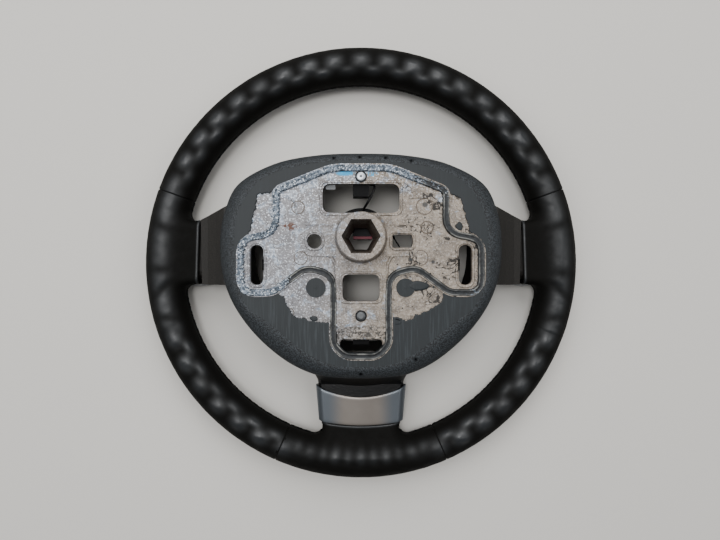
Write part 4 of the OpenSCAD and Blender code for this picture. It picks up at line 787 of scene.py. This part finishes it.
def reading(tree, sources, key):
    """A value that varies over the surface, by its key: a name in sources, a coordinate in millimetres,
    noise as (size, detail, distortion), or the distance from a spot (x, y, reach in x, reach in y), 1 at
    its rim."""
    if key not in sources:
        if key in ("x", "y", "z"):
            sources[key] = add(tree, "ShaderNodeSeparateXYZ", {0: sources["at"]}, out=key.upper())
        elif len(key) == 3:
            sources[key] = add(tree, "ShaderNodeTexNoise", {
                "Vector": sources["at"], "Scale": 1 / key[0], "Detail": key[1], "Distortion": key[2]})
        else:
            x, y, reach_x, reach_y = key
            moved = add(tree, "ShaderNodeMapping", {
                "Vector": sources["at"], "Location": (-x / reach_x, -y / reach_y, 0),
                "Scale": (1 / reach_x, 1 / reach_y, 0)})
            sources[key] = add(tree, "ShaderNodeVectorMath", {0: moved}, out="Value", operation="LENGTH")
    return sources[key]


def product(tree, sources, factors):
    """The product of factors. A factor is (key), read as it is, or (key, low, high) with the readings between
    which it rises from 0 to 1, or from and to two further numbers, smoothly unless it ends with LINEAR."""
    share = None
    for key, *span in factors:
        part = reading(tree, sources, key)
        if span:
            low, high, least, most, how = span + [0.0, 1.0, "SMOOTHSTEP"][len(span) - 2:]
            part = add(tree, "ShaderNodeMapRange", {0: part, 1: low, 2: high, 3: least, 4: most},
                       interpolation_type=how)
        share = part if share is None else add(
            tree, "ShaderNodeMath", {0: share, 1: part}, operation="MULTIPLY", use_clamp=True)
    return share


def layered(tree, sources, under, layers):
    """A colour built up in layers: each is painted over those below by the product of its factors, and its
    paint is a hex colour or a colour with layers of its own."""
    colour = linear(under)
    for paint, *factors in layers:
        over = linear(paint) if isinstance(paint, str) else layered(tree, sources, *paint)
        colour = add(tree, "ShaderNodeMix", {0: product(tree, sources, factors), 6: colour, 7: over},
                     out=2, data_type="RGBA")
    return colour


def finish(name, under, layers=(), relief=(), shader=None, marks=(), extra=(), roughness=(), gloss=()):
    """A material from tables: its colour by layers, marks as the attributes it reads, extra as further nodes
    (name, kind, output, what its sockets read, their values, settings), roughness and gloss by factors, and
    relief as bumps (what they read, strength, height in millimetres)."""
    material = bpy.data.materials.new(name)
    material.use_nodes = True
    tree = material.node_tree
    tree.nodes.clear()
    shade = add(tree, "ShaderNodeBsdfPrincipled", shader)
    add(tree, "ShaderNodeOutputMaterial", {0: shade})
    surface = shade.node.inputs
    where = add(tree, "ShaderNodeTexCoord", out="Object")
    sources = {"at": add(tree, "ShaderNodeMapping", {"Vector": where, "Scale": (1000, 1000, 1000)})}
    for mark in marks:
        sources[mark] = add(tree, "ShaderNodeAttribute", out="Fac", attribute_name=mark)
    for key, kind, out, reads, values, settings in extra:
        sockets = {socket: reading(tree, sources, other) for socket, other in reads.items()}
        sources[key] = add(tree, kind, {**values, **sockets}, out=out, **settings)
    colour = layered(tree, sources, under, layers)
    if layers:
        tree.links.new(colour, surface["Base Color"])
    else:
        surface["Base Color"].default_value = colour
    for socket, factors in (("Roughness", roughness), ("Specular IOR Level", gloss)):
        if factors:
            tree.links.new(product(tree, sources, factors), surface[socket])
    normal = {}
    for key, strength, height in relief:
        normal["Normal"] = add(tree, "ShaderNodeBump", {
            "Strength": strength, "Distance": height * MM, "Height": reading(tree, sources, key), **normal})
    if normal:
        tree.links.new(normal["Normal"], surface["Normal"])
    return material


def leather_finish():
    """Full-grain leather, dyed near black: hands have rubbed the bump tops and thumb rests to a soft sheen,
    and the spokes' leather is still dull. Those tops, the thumb rests and the stubs' rolled lips are also
    painted a lighter grey, partly wear and partly painted highlight. A fine pebble, faint wrinkles and an
    uneven tone."""
    tone, wrinkle = (22.0, 3.0, 0.0), (5.0, 4.0, 0.6)
    return finish(
        "dyed_full_grain_leather", "#0a0a09",
        # Lighter grey where marked: partly wear, partly painted highlight.
        [("#100f0d", (tone,)), (("#181a1b", [("#25282b", (tone,))]), ("polish",))],
        relief=[("pebble", 0.35, 0.08), (wrinkle, 0.35, 0.5)], marks=("polish",),
        extra=[
            ("pebble", "ShaderNodeTexVoronoi", 0, {"Vector": "at"}, {"Scale": 1 / 0.9}, {"feature": "F1"}),
            ("smooth", "ShaderNodeMapRange", 0, {0: "polish"}, {3: 0.68, 4: 0.4}, {}),
            ("uneven", "ShaderNodeMapRange", 0, {0: wrinkle}, {1: 0.3, 2: 0.7, 3: -0.05, 4: 0.06}, {}),
            ("rough", "ShaderNodeMath", 0, {0: "smooth", 1: "uneven"}, {}, {"operation": "ADD"})],
        roughness=[("rough",)], gloss=[("polish", 0.0, 1.0, 0.07, 0.62, "LINEAR")])


MOTTLE, SPECKLE = (7.0, 5.0, 0.0), (1.6, 4.0, 0.0)
SMOOTH = {"interpolation_type": "SMOOTHSTEP"}
ADDED = {"operation": "ADD", "use_clamp": True}


def cast_plate_finish():
    """Die-cast magnesium with its skin as cast: warm grey metal, cooler and frosted bluish white toward the
    left and the top where it has oxidised, with painted glints, flow lines, specks, a rust-brown stain,
    light-blue paint by the top rivet, darker patches inside the bore, and painted shade at the boss's foot
    and on the sides below the plate."""
    rear = ("z", -21.0, -19.0)
    frosted = ("#7d8a9a", [("#c0c9d4", ((2.5, 3.0, 0.0), 0.4, 0.6))])
    layers = [
        ("#968b7e", (MOTTLE, 0.3, 0.7)), ("#c2b8ac", (SPECKLE, 0.52, 0.64, 0.0, 0.5)),
        (("#62656c", [("#90939b", (MOTTLE,))]), ("x", 25.0, -60.0, 0.0, 0.75)),
        ("#4b443c", ((1.1, 5.0, 0.8), 0.44, 0.34, 0.0, 0.7)),
        (frosted, ("frost_field", 0.62, 0.72), (SPECKLE, 0.42, 0.58, 0.25, 0.9)),
        # Painted glints: small bright white spots, toward the left and the top.
        ("#e9eef4", ((1.3, 3.0, 0.0), 0.57, 0.63), ("region", 0.0, 0.2, 0.15, 0.9)),
        ("#2b2723", ("flow",), ((16.0, 3.0, 0.0), 0.53, 0.58), ("x", 8.0, 45.0)),
        ("#1d1a18", ("cells", 0.2, 0.12), ((13.0, 3.0, 0.0), 0.5, 0.58), ("x", -40.0, 30.0, 0.3, 1.0)),
        ("#5c4034", ((-57.0, 8.7, 7.0, 3.6), 1.25, 0.6), ((2.2, 4.0, 0.0), 0.44, 0.52), rear)]
    layers += [("#2f9bcb", (spot, 1.25, 0.6), ((2.6, 4.0, 0.0), 0.4, 0.52), rear)
               for spot in ((-12.5, 50.9, 8.0, 1.9), (8.5, 50.6, 5.0, 1.8))]
    layers += [("#2a2d2f", (spot, 1.25, 0.6, 0.0, 0.85))
               for spot in ((51.0, 26.0, 2.6, 2.2), (57.3, -19.5, 1.5, 1.5), (40.0, -17.5, 1.6, 1.2))]
    layers += [
        ("#17181a", ((57.5, 41.0, 1.1, 4.2), 1.25, 0.6), ((1.5, 3.0, 0.0), 0.4, 0.5)),
        ("#2d2c2a", ((2.4, 5.0, 0.8), 0.5, 0.55), ("y", -69.0, -72.0, 0.0, 0.8)),
        # Darker in patches inside the bore, below its mouth.
        ("#38332c", ("radius", 15.4, 14.6), ("z", -0.3, -2.0), ((1.8, 6.0, 0.5), 0.42, 0.56, 1.0, 0.05)),
        # Painted shade: all below the plate's level is darkened.
        ("#2c2925", ("z", -17.4, -19.0, 0.0, 0.72)),
        # Painted shade round the foot of the boss, where it meets the plate.
        ("#55493a", ("radius", 22.6, 18.6), ("z", -3.5, -9.0, 0.0, 0.45))]
    return finish(
        "die_cast_magnesium", "#72695f", layers, relief=[(SPECKLE, 0.7, 0.25), (MOTTLE, 0.6, 1.2)],
        shader={"Metallic": 0.35}, roughness=[(SPECKLE, 0.3, 0.7, 0.42, 0.62)],
        extra=[
            ("leftward", "ShaderNodeMapRange", 0, {0: "x"}, {1: 60.0, 2: -95.0, 3: 0.0, 4: 0.14}, SMOOTH),
            ("upward", "ShaderNodeMapRange", 0, {0: "y"}, {1: 5.0, 2: 62.0, 3: 0.0, 4: 0.12}, SMOOTH),
            ("region", "ShaderNodeMath", 0, {0: "leftward", 1: "upward"}, {}, ADDED),
            ("frost_field", "ShaderNodeMath", 0, {0: (9.0, 6.0, 0.8), 1: "region"}, {}, ADDED),
            ("flow", "ShaderNodeMath", 0, {0: (15.0, 4.0, 1.6)}, {1: 0.5, 2: 0.026},
             {"operation": "COMPARE"}),
            ("cells", "ShaderNodeTexVoronoi", 0, {"Vector": "at"}, {"Scale": 1 / 4.2}, {"feature": "F1"}),
            ("flat", "ShaderNodeCombineXYZ", 0, {0: "x", 1: "y"}, {}, {}),
            ("radius", "ShaderNodeVectorMath", "Value", {0: "flat"}, {}, {"operation": "LENGTH"})])


def cast_bead_finish():
    """The same magnesium on the bead: foam-grey between two lighter ridge lines on the right and below, which
    are painted highlights, and bluish white oxide with painted glints and black specks where it is frosted."""
    dark_channel = ("#17191b", [
        # Painted highlight along the two ridge lines of the dark channel.
        ("#2a2d30", (SPECKLE, 0.35, 0.65)), ("#8d8d88", ("crest",), ((9.0, 3.0, 0.0), 0.4, 0.6, 0.15, 0.9))])
    oxide = ("#57636f", [
        ("#84909f", ((3.0, 3.0, 0.0), 0.4, 0.6)), ("#4d5863", ((7.0, 4.0, 0.0), 0.45, 0.6, 0.0, 0.8)),
        # Painted glints on the frosted oxide.
        ("#e2e8ee", ((1.2, 4.0, 0.6), 0.56, 0.64, 0.0, 0.95)),
        ("#1d2125", ((1.2, 5.0, 1.0), 0.46, 0.38, 0.0, 0.9))])
    return finish(
        "frosted_magnesium_bead", dark_channel[0], dark_channel[1] + [(oxide, ("frosted", 0.35, 0.6))],
        relief=[(SPECKLE, 0.7, 0.25), (MOTTLE, 0.6, 1.2)], shader={"Metallic": 0.35},
        marks=("frost", "crest"), roughness=[(SPECKLE, 0.3, 0.7, 0.42, 0.62)],
        extra=[
            ("wander", "ShaderNodeMapRange", 0, {0: SPECKLE}, {1: 0.3, 2: 0.7, 3: -0.3, 4: 0.3}, SMOOTH),
            ("frosted", "ShaderNodeMath", 0, {0: "frost", 1: "wander"}, {}, ADDED)])


def saddle_finish():
    """Satin silver paint on moulded plastic: smooth and half metallic, warm grey across its middle. Toward
    the folds it is painted a cooler, darker grey, a painted reflection."""
    return finish(
        # Cooler, darker grey toward the folds: a painted reflection.
        "satin_silver_saddle", "#857e77", [("#938c85", ((14.0, 2.0, 0.0),)), ("#676d73", ("away", 13.0,
                                                                                          29.0))],
        shader={"Metallic": 0.55, "Roughness": 0.3},
        extra=[("away", "ShaderNodeMath", 0, {0: "x"}, {}, {"operation": "ABSOLUTE"})])


def smooth_foam_finish():
    """Polyurethane foam with a smooth moulded skin: slate grey and nearly matt, with fine rubbed streaks
    below. Under the band, on walls and neck, it is brown-black."""
    return finish(
        "moulded_polyurethane_skin", "#1d2123", [
            ("#252a2d", ((30.0, 3.0, 0.0),)),
            ("#3d4347", ("streak", 0.5, 0.72, 0.0, 0.6, "LINEAR"), ("y", -30.0, -75.0, 0.15, 1.0, "LINEAR")),
            ("#11100d", ("z", -20.0, -26.0, 0.0, 1.0, "LINEAR"))],
        relief=[("streak", 0.3, 0.12)], shader={"Roughness": 0.55, "Specular IOR Level": 0.35},
        extra=[
            ("turned", "ShaderNodeMapping", 0, {"Vector": "at"},
             {"Rotation": (0, 0, math.radians(-24)), "Scale": (1 / 1.3, 1 / 26.0, 1 / 9.0)}, {}),
            ("streak", "ShaderNodeTexNoise", 0, {"Vector": "turned"}, {"Scale": 1.0, "Detail": 4.0}, {})])


def grained_foam_finish():
    """Polyurethane foam from a grained mould: slate grey with a coarse leather-like pebble whose raised
    specks are painted lighter, a painted highlight; brown-black on the wall below; near black in the vents, a
    painted shade. The pebble is drawn at 1.5 mm, coarser than real, so that it shows."""
    grain_and_highlight = (0.9, 3.0, 0.0)
    return finish(
        "grained_polyurethane_band", "#121416", [
            # Painted highlight: the raised specks of the grain are painted lighter.
            ("#383d41", (grain_and_highlight, 0.4, 0.66, 0.0, 1.0, "LINEAR")),
            # Near black in the vents: painted shade.
            ("#14130f", ("across", 0.985, 1.05, 0.0, 1.0, "LINEAR")), ("#040405", ("pit",))],
        relief=[("pebble", 0.55, 0.3), (grain_and_highlight, 0.5, 0.3)], shader={"Roughness": 0.6},
        marks=("across", "pit"), gloss=[("pit", 0.0, 1.0, 0.35, 0.0, "LINEAR")],
        extra=[("pebble", "ShaderNodeTexVoronoi", 0, {"Vector": "at"}, {"Scale": 1 / 1.5},
                {"feature": "F1"})])


def spoke_foam_finish():
    """Polyurethane foam skin on the spokes: brown-black with a fine grain, and plain glossy black on the neck
    above the saddle."""
    grain = (1.3, 5.0, 0.0)
    return finish(
        "grained_polyurethane_skin", "#050404",
        [("#282520", (grain,)), ("#060606", ("y", -80.0, -95.0, 0.0, 1.0, "LINEAR"))],
        relief=[(grain, 0.5, 0.3)], shader={"Specular IOR Level": 0.35},
        roughness=[("y", -80.0, -95.0, 0.55, 0.3, "LINEAR")])


def rivet_finish():
    """Zinc-plated steel, pressed: a bright head, with painted shade on the washer ring and in the groove
    round it, and a dark centre mark.
    """
    return finish(
        "zinc_plated_steel_rivet", "#9aa1a6", [("#dde2e6", ((1.5, 3.0, 0.0),)), ("#16181b", ("grime",))],
        shader={"Metallic": 0.7, "Roughness": 0.32}, marks=("grime",))


def plain_finish(name, dark, light, roughness, grain, bump, metallic=0.0, spread=12.0, gloss=0.5):
    """A moulded or plated surface whose colour wanders between two tones, with a fine grain in relief."""
    return finish(
        name, dark, [(light, ((spread, 5.0, 0.0),))], relief=[((grain, 2.0, 0.0), 0.5, bump)],
        shader={"Metallic": metallic, "Roughness": roughness, "Specular IOR Level": gloss})


leather = leather_finish()
cast_metal = cast_plate_finish()
saddle_silver = saddle_finish()
silver = plain_finish("satin_silver_paint", "#777b80", "#84888d", 0.3, 0.3, 0.01, 0.75, 30.0)
finishes = {
    "cast_metal": cast_metal,
    "hub_foam": smooth_foam_finish(),
    "spoke_foam": spoke_foam_finish(),
    "leather": leather,
    "silver_trim": silver,
    "black_plastic": plain_finish("glass_filled_nylon", "#030304", "#070708", 0.5, 0.5, 0.03, gloss=0.1),
    "bright_steel": plain_finish("zinc_plated_steel", "#4c4e50", "#6c6e70", 0.5, 0.6, 0.01, 0.8),
    "pale_plastic": plain_finish("grey_acetal", "#9a9890", "#b5b3aa", 0.45, 0.5, 0.02),
    "blue_plastic": plain_finish("dark_blue_nylon", "#030408", "#060810", 0.5, 0.5, 0.02, gloss=0.2),
    "maroon_plastic": plain_finish("maroon_nylon", "#7c1830", "#96203f", 0.5, 0.5, 0.02),
    "lead_jacket": plain_finish("wire_jacket", "#050506", "#0c0c0d", 0.4, 0.5, 0.02, gloss=0.3),
}
slots = {part["node"]: part["material_slot"] for part in frame["record"]["subparts"]}
for name, thing in frame["nodes"].items():
    coat = finishes.get(slots.get(name), finishes["black_plastic"])
    if thing.data.materials:
        for k in range(len(thing.data.materials)):
            thing.data.materials[k] = coat
    else:
        thing.data.materials.append(coat)

# Pieces

for side, (start, end) in SEAMS.items():
    stub = STUBS.get(side)
    points, faces, polish = leather_sheet(start, end, stub)
    panel = make_piece(f"leather_sheet_{side}", points, faces, leather, "wheel", "leather",
                       (f"leather_{side}",), polish=polish)
    wall = panel.modifiers.new("thickness", "SOLIDIFY")
    wall.thickness = LEATHER_T * MM
    wall.offset = -1
    skip = None if stub is None else (stub["centre"], math.degrees((stub["half"] + 11) / (RIM_R - HALF_W)))
    points, faces = rim_stitches(start, end, skip)
    make_piece(f"rim_stitches_{side}", points, faces, finishes["lead_jacket"], "wheel", "leather")

for at in (20.0, 160.0, 246.4, 293.6):
    make_piece(f"seam_bed_{int(at)}", *seam_bed(at), leather, "wheel", "leather")

points, faces, across, pit = grained_band()
make_piece("hub_grained_band", points, faces, grained_foam_finish(), "wheel", "hub_foam", across=across,
           pit=pit)
points, faces, frost, crest = casting_bead()
make_piece("casting_bead", points, faces, cast_bead_finish(), "wheel", "cast_metal",
           frost=frost, crest=crest)
make_piece("foam_flash", *foam_flash(), finishes["hub_foam"], "wheel", "hub_foam")
make_piece("casting_ribs", *casting_ribs(), cast_metal, "wheel", "cast_metal")
make_piece("casting_marks", *casting_marks(),
           plain_finish("grimy_magnesium_mark", "#3a332c", "#85796c", 0.6, 0.8, 0.1, 0.2, 2.0), "wheel",
           "cast_metal")
for side, y in (("top", 38.9), ("bottom", -71.9)):
    coil = make_piece(f"contact_coil_{side}", *contact_coil(y), finishes["bright_steel"], "wheel",
                      "bright_steel",
                      (f"contact_spring_{side}",))
    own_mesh(coil)
rivet_steel = rivet_finish()
for side, y, z in (("top", 48.4, -15.6), ("bottom", -62.4, -15.4)):
    points, faces, grime = rivet_face(y, z)
    make_piece(f"rivet_face_{side}", points, faces, rivet_steel, "wheel", "bright_steel", grime=grime)
for name, sheet, thick in (("bottom", saddle_sheet(), 1.4), ("left", side_trim_sheet(-1), 0.8),
                           ("right", side_trim_sheet(1), 0.8)):
    paint = saddle_silver if name == "bottom" else silver
    trim = make_piece(f"silver_trim_{name}", *sheet, paint, "wheel", "silver_trim", (f"spoke_trim_{name}",))
    wall = trim.modifiers.new("thickness", "SOLIDIFY")
    wall.thickness = thick * MM
    wall.offset = -1


# Floor, light and camera

def floor_and_light():
    """A pale floor under the rim, broad soft lamps behind, at both sides and overhead, and the camera."""
    mesh = bpy.data.meshes.new("floor")
    w, z = 3.0, -0.0801
    mesh.from_pydata([(-w, -w, z), (w, -w, z), (w, w, z), (-w, w, z)], [], [(0, 1, 2, 3)])
    floor = bpy.data.objects.new("floor", mesh)
    bpy.context.scene.collection.objects.link(floor)
    mesh.materials.append(finish("pale_floor", "#d9d6d0", shader={"Roughness": 0.9}))
    for name, place, size, power in (
            ("back", (0.0, 1.2, 1.25), 1.3, 21), ("left", (-1.15, 0.2, 1.4), 1.2, 13),
            ("right", (1.15, 0.2, 1.4), 1.2, 10), ("overhead", (-0.2, 0.12, 1.6), 0.5, 9)):
        lamp = bpy.data.lights.new(name, "AREA")
        lamp.size = size
        lamp.energy = power
        thing = bpy.data.objects.new(name, lamp)
        thing.location = place
        aim = Vector((0, -0.02, -0.05)) - Vector(place)
        thing.rotation_euler = aim.to_track_quat("-Z", "Y").to_euler()
        bpy.context.scene.collection.objects.link(thing)
    world = bpy.data.worlds.new("studio")
    world.use_nodes = True
    world.node_tree.nodes["Background"].inputs[0].default_value = linear("#d8dade")
    world.node_tree.nodes["Background"].inputs[1].default_value = 0.26
    bpy.context.scene.world = world
    camera = bpy.data.objects.new("camera", bpy.data.cameras.new("camera"))
    camera.data.sensor_width = 36
    camera.data.lens = 541 / 720 * 36
    camera.location = (-0.0008, -0.0259, 0.4135)
    bpy.context.scene.collection.objects.link(camera)
    bpy.context.scene.camera = camera


floor_and_light()
